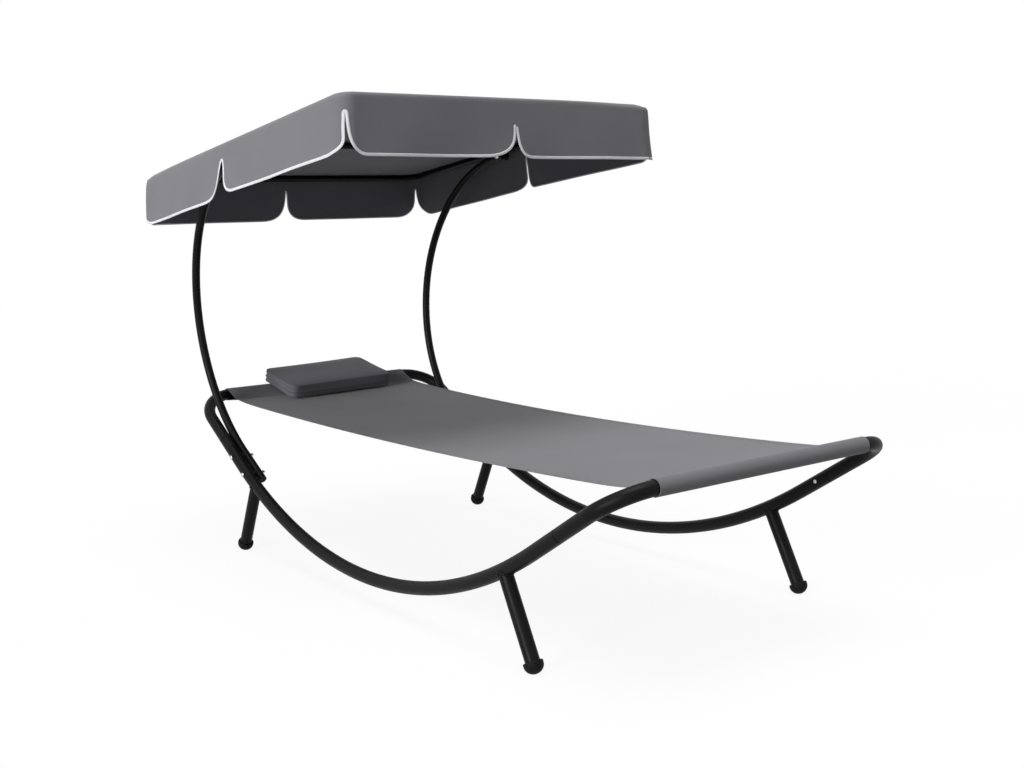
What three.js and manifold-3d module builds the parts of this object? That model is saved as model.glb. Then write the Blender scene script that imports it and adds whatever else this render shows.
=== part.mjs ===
// Sun lounger with a tilting canopy: bent steel tubes, a hung sling, a loose pillow and a cloth cover.
// Millimetres. X runs across the lounger, Y from the foot end (front) to the head end (rear), Z is up.

import * as THREE from 'three';
import { mergeVertices } from 'three/addons/utils/BufferGeometryUtils.js';
import Module from 'manifold-3d';

const wasm = await Module();
wasm.setup();

// Clearances and cutting allowances
const fitGap = 0.3;
const sleeveGap = 0.7;
const cutOverrun = 5;

// Frame tube, shared by rails, end frames and legs
const tubeRadius = 17.5;
const tubeWall = 1.5;

// Side rails: one long arc that runs out straight at both ends
const halfTrack = 440;
const railLowHeight = 67.6;
const railBendRadius = 1377;
const railEndReach = 814;
const railStraightReach = 91;
const railArcReach = railEndReach - railStraightReach;

// End frames: the slope of the rails carried up, round two corners and across
const endFrameReach = 188;
const crossbarReach = railEndReach + endFrameReach;
const cornerBendRadius = 110;
const spigotLength = 60;
const swageTaper = 2;

// Legs and their rubber ball feet
const legReach = 618;
const footWall = 5.8;
const footRadius = tubeRadius + footWall;
const footShoulder = 2.8;
const footSkirtHeight = 7;
const footDomeDepth = 21.5;
const footPlugHeight = 24;
const footFlatDepth = 1.2;

// Canopy posts: bolted inside the rails, then swept round in one arc
const postRadius = 12.5;
const postWall = 1.2;
const postBoltSetback = 70;
const postBoltSpacing = 73;
const postUpperBoltReach = railEndReach - postBoltSetback;
const postLowerBoltReach = postUpperBoltReach - postBoltSpacing;
const postTail = 32;
const postStandOff = 3.6;
const saddleRadius = 8;
const postBendRadius = 490;
const postPivotAngle = THREE.MathUtils.degToRad(172.6);
const postPastPivot = 12;
const plugFlange = 2.2;
const plugDepth = 14;

// Post bolts with their nuts
const boltRadius = 3;
const boltHeadRadius = 7;
const boltHeadHeight = 3.6;
const boltTail = 4;
const nutAcrossCorners = 11.5;
const nutHeight = 5;

// Screws that pin one tube inside another
const frameScrewSetback = 31;
const frameScrewReach = railEndReach - frameScrewSetback;
const screwRadius = 2.4;
const screwHeadRadius = 4.8;
const screwHeadHeight = 2.4;
const screwLength = 9;
const hoopScrewLength = 7.2;

// Canopy frame of two hoops and a crossbar
const hoopRadius = 10;
const hoopWall = 1.2;
const hoopHalfWidth = 489;
const hoopHalfLength = 610;
const hoopCornerRadius = 45;
const hoopJointOffset = 70;
const hoopSpigotLength = 50;
const hoopScrewInset = 22;
const canopyTilt = THREE.MathUtils.degToRad(7);

// Canopy pivots
const pivotOffset = 44;
const pivotHoopGap = 1;
const earThickness = 4;
const earHalfWidth = 13;
const pivotBoltRadius = 4;
const pivotHeadRadius = 9;
const pivotHeadHeight = 4.2;
const pivotDrop = hoopRadius + pivotHeadRadius + pivotHoopGap;
const spacerRadius = 9;
const postHoopClearance = 3;
const wingBossRadius = 7.5;
const wingBossHeight = 8;
const wingSpan = 17;
const wingRise = 9;
const wingThickness = 2.6;

// Canopy cover: a cloth top with scalloped sides
const coverCloth = 2;
const coverGap = 0.6;
const coverEase = 14;
const coverSag = 7;
const coverEdgeRound = 8;
const coverCornerRadius = 42;
const valanceDrop = 151;
const valanceSideSplay = 11;
const slitHalfWidth = 2.5;
const slitTopHalfWidth = 1;
const flapCornerWidth = 60;
const flapCornerHeight = 70;
const wideFlapCornerWidth = 110;
const sideSlitHeight = 108;
const endSlitHeight = 97;
const cornerSlitHeight = 104;
const nearSideSlitShift = 45;
const farSideSlitShift = -18;
const endSlitShift = 15;

// Sling: a sheet with a sewn sleeve at each end
const slingCloth = 2;
const sleeveOverBend = 4;
const slingSleeveHalfLength = halfTrack - cornerBendRadius + sleeveOverBend;
const slingSeamDistance = 66;
const slingSeamFall = 10;
const slingWaist = 16;
const slingHalfWidth = slingSleeveHalfLength - slingWaist;
const slingEdgeSpread = 13;
const slingDip = 38;
const slingRise = 22;
const slingSettle = 42;
const slingCentreSag = 9;
const slingLap = 5;

// Pillow: a boxed cushion with rounded corners
const pillowHalfLength = 192;
const pillowHalfWidth = 94;
const pillowThickness = 40;
const pillowCornerRadius = 24;
const pillowCrown = 7;
const pillowUnderCrown = 1.5;
const pillowDrawIn = 5;
const pillowSideBulge = 3;
const pillowSeamRound = 4;
const pillowSetback = 150;
const pillowFrontReach = crossbarReach - pillowSetback;
const pillowShift = -5;
const pillowTurn = THREE.MathUtils.degToRad(5);

// Facets
const tubeSides = 14;
const postSides = 12;
const hoopSides = 10;
const fastenerSides = 10;
const footSides = 14;

const steelPaint = new THREE.MeshStandardMaterial({ color: 0x26262a, roughness: 0.5, metalness: 0.4 });
const zinc = new THREE.MeshStandardMaterial({ color: 0xb9bcc0, roughness: 0.35, metalness: 0.9 });
const blackPlastic = new THREE.MeshStandardMaterial({ color: 0x1c1c1e, roughness: 0.6, metalness: 0 });
const blackRubber = new THREE.MeshStandardMaterial({ color: 0x1a1a1b, roughness: 0.8, metalness: 0 });
const coverFabric = new THREE.MeshStandardMaterial({ color: 0x6c6b71, roughness: 0.85, metalness: 0 });
const slingFabric = new THREE.MeshStandardMaterial({ color: 0x6d6d72, roughness: 0.8, metalness: 0 });
const pillowFabric = new THREE.MeshStandardMaterial({ color: 0x4a4a50, roughness: 0.85, metalness: 0 });

const axisX = new THREE.Vector3(1, 0, 0);
const axisY = new THREE.Vector3(0, 1, 0);
const axisZ = new THREE.Vector3(0, 0, 1);
const sides = [['left', -1], ['right', 1]];
const ends = [['front', -1], ['rear', 1]];

// An arc in any plane: it turns from one in-plane direction towards another
class Arc extends THREE.Curve {
  constructor(centre, radius, from, towards, startAngle, endAngle) {
    super();
    Object.assign(this, { centre, radius, from, towards, startAngle, endAngle });
  }

  angle(t) {
    return THREE.MathUtils.lerp(this.startAngle, this.endAngle, t);
  }

  getPoint(t) {
    const angle = this.angle(t);
    return this.centre.clone()
      .addScaledVector(this.from, this.radius * Math.cos(angle))
      .addScaledVector(this.towards, this.radius * Math.sin(angle));
  }

  getTangent(t) {
    const angle = this.angle(t);
    const way = Math.sign(this.endAngle - this.startAngle);
    return new THREE.Vector3()
      .addScaledVector(this.from, -way * Math.sin(angle))
      .addScaledVector(this.towards, way * Math.cos(angle));
  }
}

// A run of straight and bent pieces, each with its own number of steps
class TubeRun extends THREE.Curve {
  constructor(pieces) {
    super();
    this.pieces = pieces;
    this.steps = pieces.reduce((sum, piece) => sum + piece.steps, 0);
  }

  locate(u) {
    let step = u * this.steps;
    for (const piece of this.pieces) {
      if (step <= piece.steps) return { curve: piece.curve, t: step / piece.steps };
      step -= piece.steps;
    }
    return { curve: this.pieces.at(-1).curve, t: 1 };
  }

  getPoint(u) {
    const place = this.locate(u);
    return place.curve.getPoint(place.t);
  }

  getPointAt(u) {
    return this.getPoint(u);
  }

  getTangent(u) {
    const place = this.locate(u);
    return place.curve.getTangent(place.t);
  }

  getTangentAt(u) {
    return this.getTangent(u);
  }
}

function straight(from, to, steps = 1) {
  return { curve: new THREE.LineCurve3(from, to), steps };
}

function bent(arc, steps) {
  return { curve: arc, steps };
}

function polygon(radius, count) {
  const points = [];
  for (let i = 0; i < count; i += 1) {
    const angle = (2 * Math.PI * i) / count;
    points.push(new THREE.Vector2(radius * Math.cos(angle), radius * Math.sin(angle)));
  }
  return points;
}

// Corner radius of a faceted hole that clears a round, and of a plug in a faceted bore
function boreAround(radius, count) {
  return (radius + fitGap) / Math.cos(Math.PI / count);
}

function plugInside(radius, count) {
  return radius * Math.cos(Math.PI / count) - fitGap;
}

// A solid round bar along a run
function sweep(run, radius, count) {
  const section = new THREE.Shape(polygon(radius, count));
  return new THREE.ExtrudeGeometry(section, { extrudePath: run, steps: run.steps });
}

// A hollow tube along a run, open at both ends; each radius is one number or one for every station
function hollowTube(run, outer, inner, count) {
  const frames = run.computeFrenetFrames(run.steps, false);
  const ring = (radius, station) => {
    const size = Array.isArray(radius) ? radius[station] : radius;
    const centre = run.getPointAt(station / run.steps);
    return polygon(size, count).map((p) => centre.clone()
      .addScaledVector(frames.normals[station], p.x)
      .addScaledVector(frames.binormals[station], p.y));
  };
  const stations = Array.from({ length: run.steps + 1 }, (_, station) => station);
  const outside = stations.map((station) => ring(outer, station));
  const inside = stations.map((station) => ring(inner, station)).reverse();
  const rings = [...outside, ...inside];
  return meshOf(rings.flat(), ringFaces(rings.length, count, true));
}

function ringFaces(ringCount, count, closed) {
  const index = [];
  const total = ringCount * count;
  for (let r = 0; r < (closed ? ringCount : ringCount - 1); r += 1) {
    for (let i = 0; i < count; i += 1) {
      const a = r * count + i;
      const b = r * count + ((i + 1) % count);
      const c = (b + count) % total;
      const d = (a + count) % total;
      index.push(a, b, c, a, c, d);
    }
  }
  return index;
}

function meshOf(points, index) {
  const geometry = new THREE.BufferGeometry().setFromPoints(points);
  geometry.setIndex(index);
  geometry.computeVertexNormals();
  return geometry;
}

function rod(from, to, radius, count = fastenerSides) {
  return sweep(new TubeRun([straight(from, to)]), radius, count);
}

// Closed meshes to solids for cutting and joining, and back
function solidOf(geometry) {
  const bare = geometry.clone();
  bare.deleteAttribute('normal');
  bare.deleteAttribute('uv');
  const welded = mergeVertices(bare);
  const corners = welded.index.array;
  const kept = [];
  for (let i = 0; i < corners.length; i += 3) {
    const [a, b, c] = [corners[i], corners[i + 1], corners[i + 2]];
    if (a !== b && b !== c && c !== a) kept.push(a, b, c);
  }
  const vertProperties = new Float32Array(welded.attributes.position.array);
  return new wasm.Manifold(new wasm.Mesh({ numProp: 3, vertProperties, triVerts: new Uint32Array(kept) }));
}

function geometryOf(solid) {
  const mesh = solid.getMesh();
  const geometry = new THREE.BufferGeometry();
  geometry.setAttribute('position', new THREE.BufferAttribute(mesh.vertProperties, 3));
  geometry.setIndex(new THREE.BufferAttribute(mesh.triVerts, 1));
  geometry.computeVertexNormals();
  return geometry;
}

function cut(geometry, cutters) {
  return geometryOf(cutters.reduce((solid, cutter) => solid.subtract(solidOf(cutter)), solidOf(geometry)));
}

function join(geometries) {
  return geometryOf(geometries.map(solidOf).reduce((whole, solid) => whole.add(solid)));
}

function clip(geometry, keeper) {
  return geometryOf(solidOf(geometry).intersect(solidOf(keeper)));
}

// A turned piece about its own axis, placed with that axis along a direction
function turned(name, profile, material, position, direction, count = fastenerSides) {
  const points = profile.map(([radius, height]) => new THREE.Vector2(radius, height));
  const mesh = piece(name, new THREE.LatheGeometry(points, count), material);
  mesh.position.copy(position);
  mesh.quaternion.setFromUnitVectors(axisY, direction);
  return mesh;
}

function piece(name, geometry, material) {
  const mesh = new THREE.Mesh(geometry, material);
  mesh.name = name;
  return mesh;
}

// A closed body through rings of equal count, closed by a fan at each end
function loft(rings) {
  const count = rings[0].length;
  const index = ringFaces(rings.length, count, false);
  const last = (rings.length - 1) * count;
  const hub = rings.length * count;
  for (let i = 0; i < count; i += 1) {
    const next = (i + 1) % count;
    index.push(hub, next, i, hub + 1, last + i, last + next);
  }
  return meshOf([...rings.flat(), middle(rings[0]), middle(rings.at(-1))], index);
}

function middle(ring) {
  return ring.reduce((sum, point) => sum.add(point), new THREE.Vector3()).divideScalar(ring.length);
}

// A thin sheet of even thickness over a grid of points, rows of equal count
function sheet(rows, thickness) {
  const across = rows[0].length;
  const points = [];
  const up = new THREE.Vector3();
  for (const way of [1, -1]) {
    rows.forEach((row, r) => {
      const before = rows[Math.max(r - 1, 0)];
      const after = rows[Math.min(r + 1, rows.length - 1)];
      row.forEach((point, c) => {
        const along = after[c].clone().sub(before[c]);
        const over = row[Math.min(c + 1, across - 1)].clone().sub(row[Math.max(c - 1, 0)]);
        up.crossVectors(over, along).normalize();
        points.push(point.clone().addScaledVector(up, (way * thickness) / 2));
      });
    });
  }
  const index = [];
  const under = rows.length * across;
  for (let r = 0; r + 1 < rows.length; r += 1) {
    for (let c = 0; c + 1 < across; c += 1) {
      const a = r * across + c;
      const d = a + across;
      index.push(a, a + 1, d + 1, a, d + 1, d);
      index.push(under + a, under + d + 1, under + a + 1, under + a, under + d, under + d + 1);
    }
  }
  const rim = [];
  for (let c = 0; c < across; c += 1) rim.push(c);
  for (let r = 1; r < rows.length; r += 1) rim.push(r * across + across - 1);
  for (let c = across - 2; c >= 0; c -= 1) rim.push((rows.length - 1) * across + c);
  for (let r = rows.length - 2; r > 0; r -= 1) rim.push(r * across);
  rim.forEach((a, i) => {
    const b = rim[(i + 1) % rim.length];
    index.push(a, under + b, b, a, under + a, under + b);
  });
  return meshOf(points, index);
}

// Rectangle with rounded corners, anticlockwise; even side steps put a point on each middle
function roundedRectangle(halfX, halfY, radius, cornerSteps, stepsX, stepsY) {
  const flatX = halfX - radius;
  const flatY = halfY - radius;
  const points = [];
  const corners = [[1, -1], [1, 1], [-1, 1], [-1, -1]];
  corners.forEach(([signX, signY], corner) => {
    const begin = ((corner - 1) * Math.PI) / 2;
    for (let i = 0; i <= cornerSteps; i += 1) {
      const angle = begin + (i * Math.PI) / 2 / cornerSteps;
      const x = signX * flatX + radius * Math.cos(angle);
      const y = signY * flatY + radius * Math.sin(angle);
      points.push(new THREE.Vector2(x, y));
    }
    const alongY = corner % 2 === 0;
    const steps = alongY ? stepsY : stepsX;
    for (let i = 1; i < steps; i += 1) {
      const share = 1 - (2 * i) / steps;
      if (alongY) points.push(new THREE.Vector2(signX * halfX, signY * flatY * share));
      else points.push(new THREE.Vector2(signX * flatX * share, signY * halfY));
    }
  });
  return points;
}

// Rail line in side view
const railSlope = Math.asin(railArcReach / railBendRadius);
const railCentreHeight = railLowHeight + railBendRadius;

function railPoint(x, reach) {
  const along = Math.abs(reach);
  const way = Math.sign(reach);
  if (along <= railArcReach) {
    return new THREE.Vector3(x, reach, railCentreHeight - Math.sqrt(railBendRadius ** 2 - along ** 2));
  }
  const past = along - railArcReach;
  const rise = past * Math.tan(railSlope);
  return railPoint(x, way * railArcReach).add(new THREE.Vector3(0, way * past, rise));
}

function railRun(x) {
  const arcSteps = 20;
  const centre = new THREE.Vector3(x, 0, railCentreHeight);
  const down = axisZ.clone().negate();
  return new TubeRun([
    straight(railPoint(x, -railEndReach), railPoint(x, -railArcReach)),
    bent(new Arc(centre, railBendRadius, down, axisY, -railSlope, railSlope), arcSteps),
    straight(railPoint(x, railArcReach), railPoint(x, railEndReach)),
  ]);
}

const boreRadius = tubeRadius - tubeWall;
const spigotRadius = plugInside(boreRadius, tubeSides);
const crossbarCentre = railPoint(0, crossbarReach);

// Places of everything that crosses a rail
const postBoltReaches = [['lower', postLowerBoltReach], ['upper', postUpperBoltReach]];

function crossHole(point, radius) {
  const half = new THREE.Vector3(tubeRadius + postStandOff + 2 * postRadius + cutOverrun, 0, 0);
  return rod(point.clone().sub(half), point.clone().add(half), radius + fitGap);
}

// A hole from the middle of a tube out through its inner wall only
function innerWallHole(point, side, radius) {
  const out = new THREE.Vector3(-side * (tubeRadius + cutOverrun), 0, 0);
  return rod(point, point.clone().add(out), radius + fitGap);
}

function makeRail(name, side) {
  const x = side * halfTrack;
  const tube = hollowTube(railRun(x), tubeRadius, boreRadius, tubeSides);
  const holes = postBoltReaches.map(([, reach]) => crossHole(railPoint(x, reach), boltRadius));
  holes.push(innerWallHole(railPoint(x, -frameScrewReach), side, screwRadius));
  return piece(`${name}_rail`, cut(tube, holes), steelPaint);
}

// End frame: two arms, two corner bends, a crossbar, and a reduced spigot at each end
function endFrameRun(end) {
  const cornerSteps = 6;
  const uphill = new THREE.Vector3(0, end * Math.cos(railSlope), Math.sin(railSlope));
  const mouth = railPoint(0, end * railEndReach);
  const spigotEnd = mouth.clone().addScaledVector(uphill, -spigotLength);
  const neck = mouth.clone().addScaledVector(uphill, fitGap);
  const shoulder = neck.clone().addScaledVector(uphill, swageTaper);
  const bendFoot = railPoint(0, end * crossbarReach).addScaledVector(uphill, -cornerBendRadius);
  const cornerX = halfTrack - cornerBendRadius;
  const at = (x, base) => base.clone().setX(x);
  const leftBend = new Arc(
    at(-cornerX, bendFoot), cornerBendRadius, axisX.clone().negate(), uphill, 0, Math.PI / 2,
  );
  const rightBend = new Arc(at(cornerX, bendFoot), cornerBendRadius, uphill, axisX, 0, Math.PI / 2);
  const arm = (x) => [spigotEnd, neck, shoulder, bendFoot].map((base) => at(x, base));
  return new TubeRun([
    ...chain(arm(-halfTrack)),
    bent(leftBend, cornerSteps),
    straight(leftBend.getPoint(1), rightBend.getPoint(0)),
    bent(rightBend, cornerSteps),
    ...chain(arm(halfTrack).reverse()),
  ]);
}

// Straight pieces from point to point
function chain(points) {
  return points.slice(1).map((point, i) => straight(points[i], point));
}

// Radii for a run that starts and ends in a reduced spigot
function swagedRadii(run, full, reduced) {
  const radii = new Array(run.steps + 1).fill(full);
  for (const station of [0, 1, run.steps - 1, run.steps]) radii[station] = reduced;
  return radii;
}

function makeEndFrame(name, end) {
  const run = endFrameRun(end);
  const outer = swagedRadii(run, tubeRadius, spigotRadius);
  const inner = swagedRadii(run, boreRadius, spigotRadius - tubeWall);
  const holes = sides.flatMap(([, side]) => (end > 0
    ? postBoltReaches.map(([, reach]) => crossHole(railPoint(side * halfTrack, reach), boltRadius))
    : [innerWallHole(railPoint(side * halfTrack, -frameScrewReach), side, screwRadius)]));
  return piece(`${name}_end_frame`, cut(hollowTube(run, outer, inner, tubeSides), holes), steelPaint);
}

// Leg: square to the rail, coped to fit under it
const legAngle = Math.asin(legReach / railBendRadius);

function legLine(side, end) {
  const outward = new THREE.Vector3(0, end * Math.sin(legAngle), -Math.cos(legAngle));
  const top = railPoint(side * halfTrack, end * legReach);
  const length = (top.z - footSeatHeight()) / Math.cos(legAngle);
  const bottom = top.clone().addScaledVector(outward, length);
  return { top, bottom, outward };
}

// Height of the foot's widest ring, so that its dome just reaches below the floor before it is cut flat
function footSeatHeight() {
  const tiltedReach = Math.hypot(footDomeDepth * Math.cos(legAngle), footRadius * Math.sin(legAngle));
  return tiltedReach - footFlatDepth;
}

function makeLeg(name, side, end) {
  const { top, bottom, outward } = legLine(side, end);
  const foot = bottom.clone().addScaledVector(outward, -fitGap);
  const run = new TubeRun([straight(top, foot)]);
  const tube = hollowTube(run, tubeRadius, boreRadius, tubeSides);
  const cope = sweep(railRun(side * halfTrack), tubeRadius + fitGap, tubeSides);
  const lower = keepLowest(cut(tube, [cope]));
  return piece(`${name}_leg`, lower, steelPaint);
}

// Drops the slivers that a cope leaves on the far side of the tube it cuts
function keepLowest(geometry) {
  const parts = solidOf(geometry).decompose();
  parts.sort((a, b) => a.boundingBox().min[2] - b.boundingBox().min[2]);
  return geometryOf(parts[0]);
}

// Foot: a ball cut flat underneath, with a socket for the leg's end and a plug up the leg's bore
function makeFoot(name, side, end) {
  const { bottom, outward } = legLine(side, end);
  const up = outward.clone().negate();
  const domeSteps = 5;
  const profile = [];
  for (let i = 0; i <= domeSteps; i += 1) {
    const angle = (i * Math.PI) / 2 / domeSteps;
    profile.push([footRadius * Math.sin(angle), -footDomeDepth * Math.cos(angle)]);
  }
  const rim = boreAround(tubeRadius, footSides);
  const plug = plugInside(boreRadius, footSides);
  profile.push([footRadius - footShoulder / 3, footSkirtHeight - footShoulder]);
  profile.push([footRadius - footShoulder, footSkirtHeight]);
  profile.push([rim, footSkirtHeight], [rim, -fitGap], [plug, -fitGap]);
  profile.push([plug, footPlugHeight - plugFlange], [plug - plugFlange, footPlugHeight]);
  profile.push([0, footPlugHeight]);
  const points = profile.map(([radius, height]) => new THREE.Vector2(radius, height));
  const geometry = new THREE.LatheGeometry(points, footSides);
  const place = new THREE.Quaternion().setFromUnitVectors(axisY, up);
  geometry.applyMatrix4(new THREE.Matrix4().compose(bottom, place, new THREE.Vector3(1, 1, 1)));
  const reach = footRadius + footPlugHeight + footDomeDepth;
  const keeper = new THREE.BoxGeometry(2 * reach, 2 * reach, 2 * reach);
  keeper.translate(bottom.x, bottom.y, reach);
  return piece(`${name}_foot`, clip(geometry, keeper), blackRubber);
}

// Post line: in a leaning plane, with plane height measured along the lean
const postBaseX = halfTrack - tubeRadius - postRadius - postStandOff;
const postTopX = hoopHalfWidth - hoopRadius - postRadius - postHoopClearance;
const lowerBoltPoint = railPoint(0, postLowerBoltReach);
const upperBoltPoint = railPoint(0, postUpperBoltReach);
const boltStep = upperBoltPoint.clone().sub(lowerBoltPoint);
const postStartAngle = Math.atan2(boltStep.z, boltStep.y);
const postCentreY = upperBoltPoint.y - postBendRadius * Math.sin(postStartAngle);
const postCentreRise = postBendRadius * Math.cos(postStartAngle);
const postPivotRise = postCentreRise - postBendRadius * Math.cos(postPivotAngle);
const postLean = Math.asin((postTopX - postBaseX) / postPivotRise);

function postPlace(side, y, rise) {
  return new THREE.Vector3(
    side * (postBaseX + rise * Math.sin(postLean)),
    y,
    upperBoltPoint.z + rise * Math.cos(postLean),
  );
}

const postPivotY = postCentreY + postBendRadius * Math.sin(postPivotAngle);
const pivotPoint = postPlace(0, postPivotY, postPivotRise);

function postRun(side) {
  const arcSteps = 18;
  const up = new THREE.Vector3(side * Math.sin(postLean), 0, Math.cos(postLean));
  const centre = postPlace(side, postCentreY, postCentreRise);
  const arc = new Arc(centre, postBendRadius, up.clone().negate(), axisY, postStartAngle, postPivotAngle);
  const tailLength = boltStep.length() + postTail;
  const tailWay = new THREE.Vector3(0, Math.cos(postStartAngle), Math.sin(postStartAngle));
  const tail = arc.getPoint(0).addScaledVector(tailWay, -tailLength);
  const tip = arc.getPoint(1).addScaledVector(arc.getTangent(1), postPastPivot);
  return new TubeRun([
    straight(tail, arc.getPoint(0)),
    bent(arc, arcSteps),
    straight(arc.getPoint(1), tip),
  ]);
}

const postBoreRadius = postRadius - postWall;

function makePost(name, side) {
  const tube = hollowTube(postRun(side), postRadius, postBoreRadius, postSides);
  const boltPoints = postBoltReaches.map(([, reach]) => railPoint(side * halfTrack, reach));
  const holes = boltPoints.map((point) => crossHole(point, boltRadius));
  const pivot = pivotAt(side, postTopX);
  const half = new THREE.Vector3(postRadius + cutOverrun, 0, 0);
  holes.push(rod(pivot.clone().sub(half), pivot.clone().add(half), pivotBoltRadius + fitGap));
  return piece(`${name}_canopy_post`, cut(tube, holes), steelPaint);
}

function makePostPlugs(name, side) {
  const run = postRun(side);
  const stub = plugInside(postBoreRadius, postSides);
  const profile = (depth) => [
    [0, -depth], [stub, -depth], [stub, fitGap], [postRadius, fitGap],
    [postRadius, plugFlange / 2], [postRadius - plugFlange, plugFlange], [0, plugFlange],
  ];
  const topDepth = postPastPivot - pivotBoltRadius - 2 * fitGap;
  const bottomWay = run.getTangent(0).negate();
  return [
    turned(`${name}_post_bottom_plug`, profile(plugDepth), blackPlastic, run.getPoint(0), bottomWay),
    turned(`${name}_post_top_plug`, profile(topDepth), blackPlastic, run.getPoint(1), run.getTangent(1)),
  ];
}

// Head and shank in one, with the head's seat at height zero and the shank below it
const domedHeadShares = [[1, 0], [0.9, 0.5], [0.5, 0.95], [0, 1]];

function boltProfile(shankRadius, shankLength, headRadius, headHeight) {
  const dome = domedHeadShares.map(([out, up]) => [out * headRadius, up * headHeight]);
  return [[0, -shankLength], [shankRadius, -shankLength], [shankRadius, 0], ...dome];
}

function hexagonNut(name, radius, position, side) {
  const shape = new THREE.Shape(polygon(nutAcrossCorners / 2, 6));
  shape.holes.push(new THREE.Path(polygon(radius + fitGap, fastenerSides)));
  const geometry = new THREE.ExtrudeGeometry(shape, { depth: nutHeight, bevelEnabled: false });
  const mesh = piece(name, geometry, zinc);
  mesh.position.copy(position);
  mesh.quaternion.setFromUnitVectors(axisZ, axisX.clone().multiplyScalar(-side));
  return mesh;
}

function makePostBolts(name, side) {
  const made = [];
  for (const [level, reach] of postBoltReaches) {
    const point = railPoint(side * halfTrack, reach);
    const seat = point.clone().setX(side * (halfTrack + tubeRadius + fitGap));
    const inner = postBaseX - postRadius - fitGap;
    const length = seat.x * side - inner + nutHeight + boltTail;
    const profile = boltProfile(boltRadius, length, boltHeadRadius, boltHeadHeight);
    const outward = axisX.clone().multiplyScalar(side);
    made.push(turned(`${name}_post_${level}_bolt`, profile, zinc, seat, outward));
    const nutSeat = point.clone().setX(side * inner);
    made.push(hexagonNut(`${name}_post_${level}_nut`, boltRadius, nutSeat, side));
    made.push(makeSaddle(`${name}_post_${level}_saddle`, side, point));
  }
  return made;
}

// Saddle washer between rail and post, hollowed on both faces to fit the two tubes
function makeSaddle(name, side, point) {
  const bar = rod(point, point.clone().setX(side * postBaseX), saddleRadius);
  const cutters = [
    sweep(railRun(side * halfTrack), tubeRadius + fitGap, tubeSides),
    sweep(postRun(side), postRadius + fitGap, postSides),
    crossHole(point, boltRadius),
  ];
  return piece(name, cut(bar, cutters), blackPlastic);
}

function makeFrameScrew(name, side) {
  const point = railPoint(side * (halfTrack - tubeRadius - fitGap), -frameScrewReach);
  const profile = boltProfile(screwRadius, screwLength, screwHeadRadius, screwHeadHeight);
  return turned(`front_${name}_joint_screw`, profile, zinc, point, axisX.clone().multiplyScalar(-side));
}

// Canopy group: its origin is on the pivot line and it is turned about X by the tilt
function pivotAt(side, x) {
  return new THREE.Vector3(side * x, pivotPoint.y, pivotPoint.z);
}

function hoopPlace(x, along) {
  return new THREE.Vector3(x, along - pivotOffset, pivotDrop);
}

function hoopRun(end) {
  const cornerSteps = 5;
  const outward = new THREE.Vector3(0, end, 0);
  const cornerX = hoopHalfWidth - hoopCornerRadius;
  const cornerAlong = end * (hoopHalfLength - hoopCornerRadius);
  const leftCentre = hoopPlace(-cornerX, cornerAlong);
  const rightCentre = hoopPlace(cornerX, cornerAlong);
  const leftBend = new Arc(leftCentre, hoopCornerRadius, axisX.clone().negate(), outward, 0, Math.PI / 2);
  const rightBend = new Arc(rightCentre, hoopCornerRadius, outward, axisX, 0, Math.PI / 2);
  const neck = -hoopJointOffset - fitGap;
  const spigot = [hoopSpigotLength - hoopJointOffset, neck, neck - swageTaper];
  const starts = end > 0 ? [-hoopJointOffset] : spigot;
  const arm = (x) => [...starts, cornerAlong].map((along) => hoopPlace(x, along));
  return new TubeRun([
    ...chain(arm(-hoopHalfWidth)),
    bent(leftBend, cornerSteps),
    straight(leftBend.getPoint(1), rightBend.getPoint(0)),
    bent(rightBend, cornerSteps),
    ...chain(arm(hoopHalfWidth).reverse()),
  ]);
}

const hoopBoreRadius = hoopRadius - hoopWall;
const hoopSpigotRadius = plugInside(hoopBoreRadius, hoopSides);

function hoopScrewHole(side) {
  const point = hoopPlace(side * hoopHalfWidth, hoopScrewInset - hoopJointOffset);
  const out = point.clone().setX(side * (hoopHalfWidth - hoopRadius - cutOverrun));
  return rod(point, out, screwRadius + fitGap);
}

function makeHoop(name, end) {
  const run = hoopRun(end);
  const outer = end > 0 ? hoopRadius : swagedRadii(run, hoopRadius, hoopSpigotRadius);
  const inner = end > 0 ? hoopBoreRadius : swagedRadii(run, hoopBoreRadius, hoopSpigotRadius - hoopWall);
  const holes = sides.map(([, side]) => hoopScrewHole(side));
  return piece(`canopy_${name}_hoop`, cut(hollowTube(run, outer, inner, hoopSides), holes), steelPaint);
}

function makeHoopScrew(name, side) {
  const x = side * (hoopHalfWidth - hoopRadius - fitGap);
  const point = hoopPlace(x, hoopScrewInset - hoopJointOffset);
  const profile = boltProfile(screwRadius, hoopScrewLength, screwHeadRadius, screwHeadHeight);
  return turned(`${name}_hoop_screw`, profile, zinc, point, axisX.clone().multiplyScalar(-side));
}

function makeCrossbar() {
  const run = new TubeRun([straight(hoopPlace(-hoopHalfWidth, 0), hoopPlace(hoopHalfWidth, 0))]);
  const tube = hollowTube(run, hoopRadius, hoopBoreRadius, hoopSides);
  const cope = sweep(hoopRun(1), hoopRadius + fitGap, hoopSides);
  const solid = solidOf(cut(tube, [cope]));
  const spans = solid.decompose().map((part) => ({ part, box: part.boundingBox() }));
  spans.sort((a, b) => (b.box.max[0] - b.box.min[0]) - (a.box.max[0] - a.box.min[0]));
  return piece('canopy_crossbar', geometryOf(spans[0].part), steelPaint);
}

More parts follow.
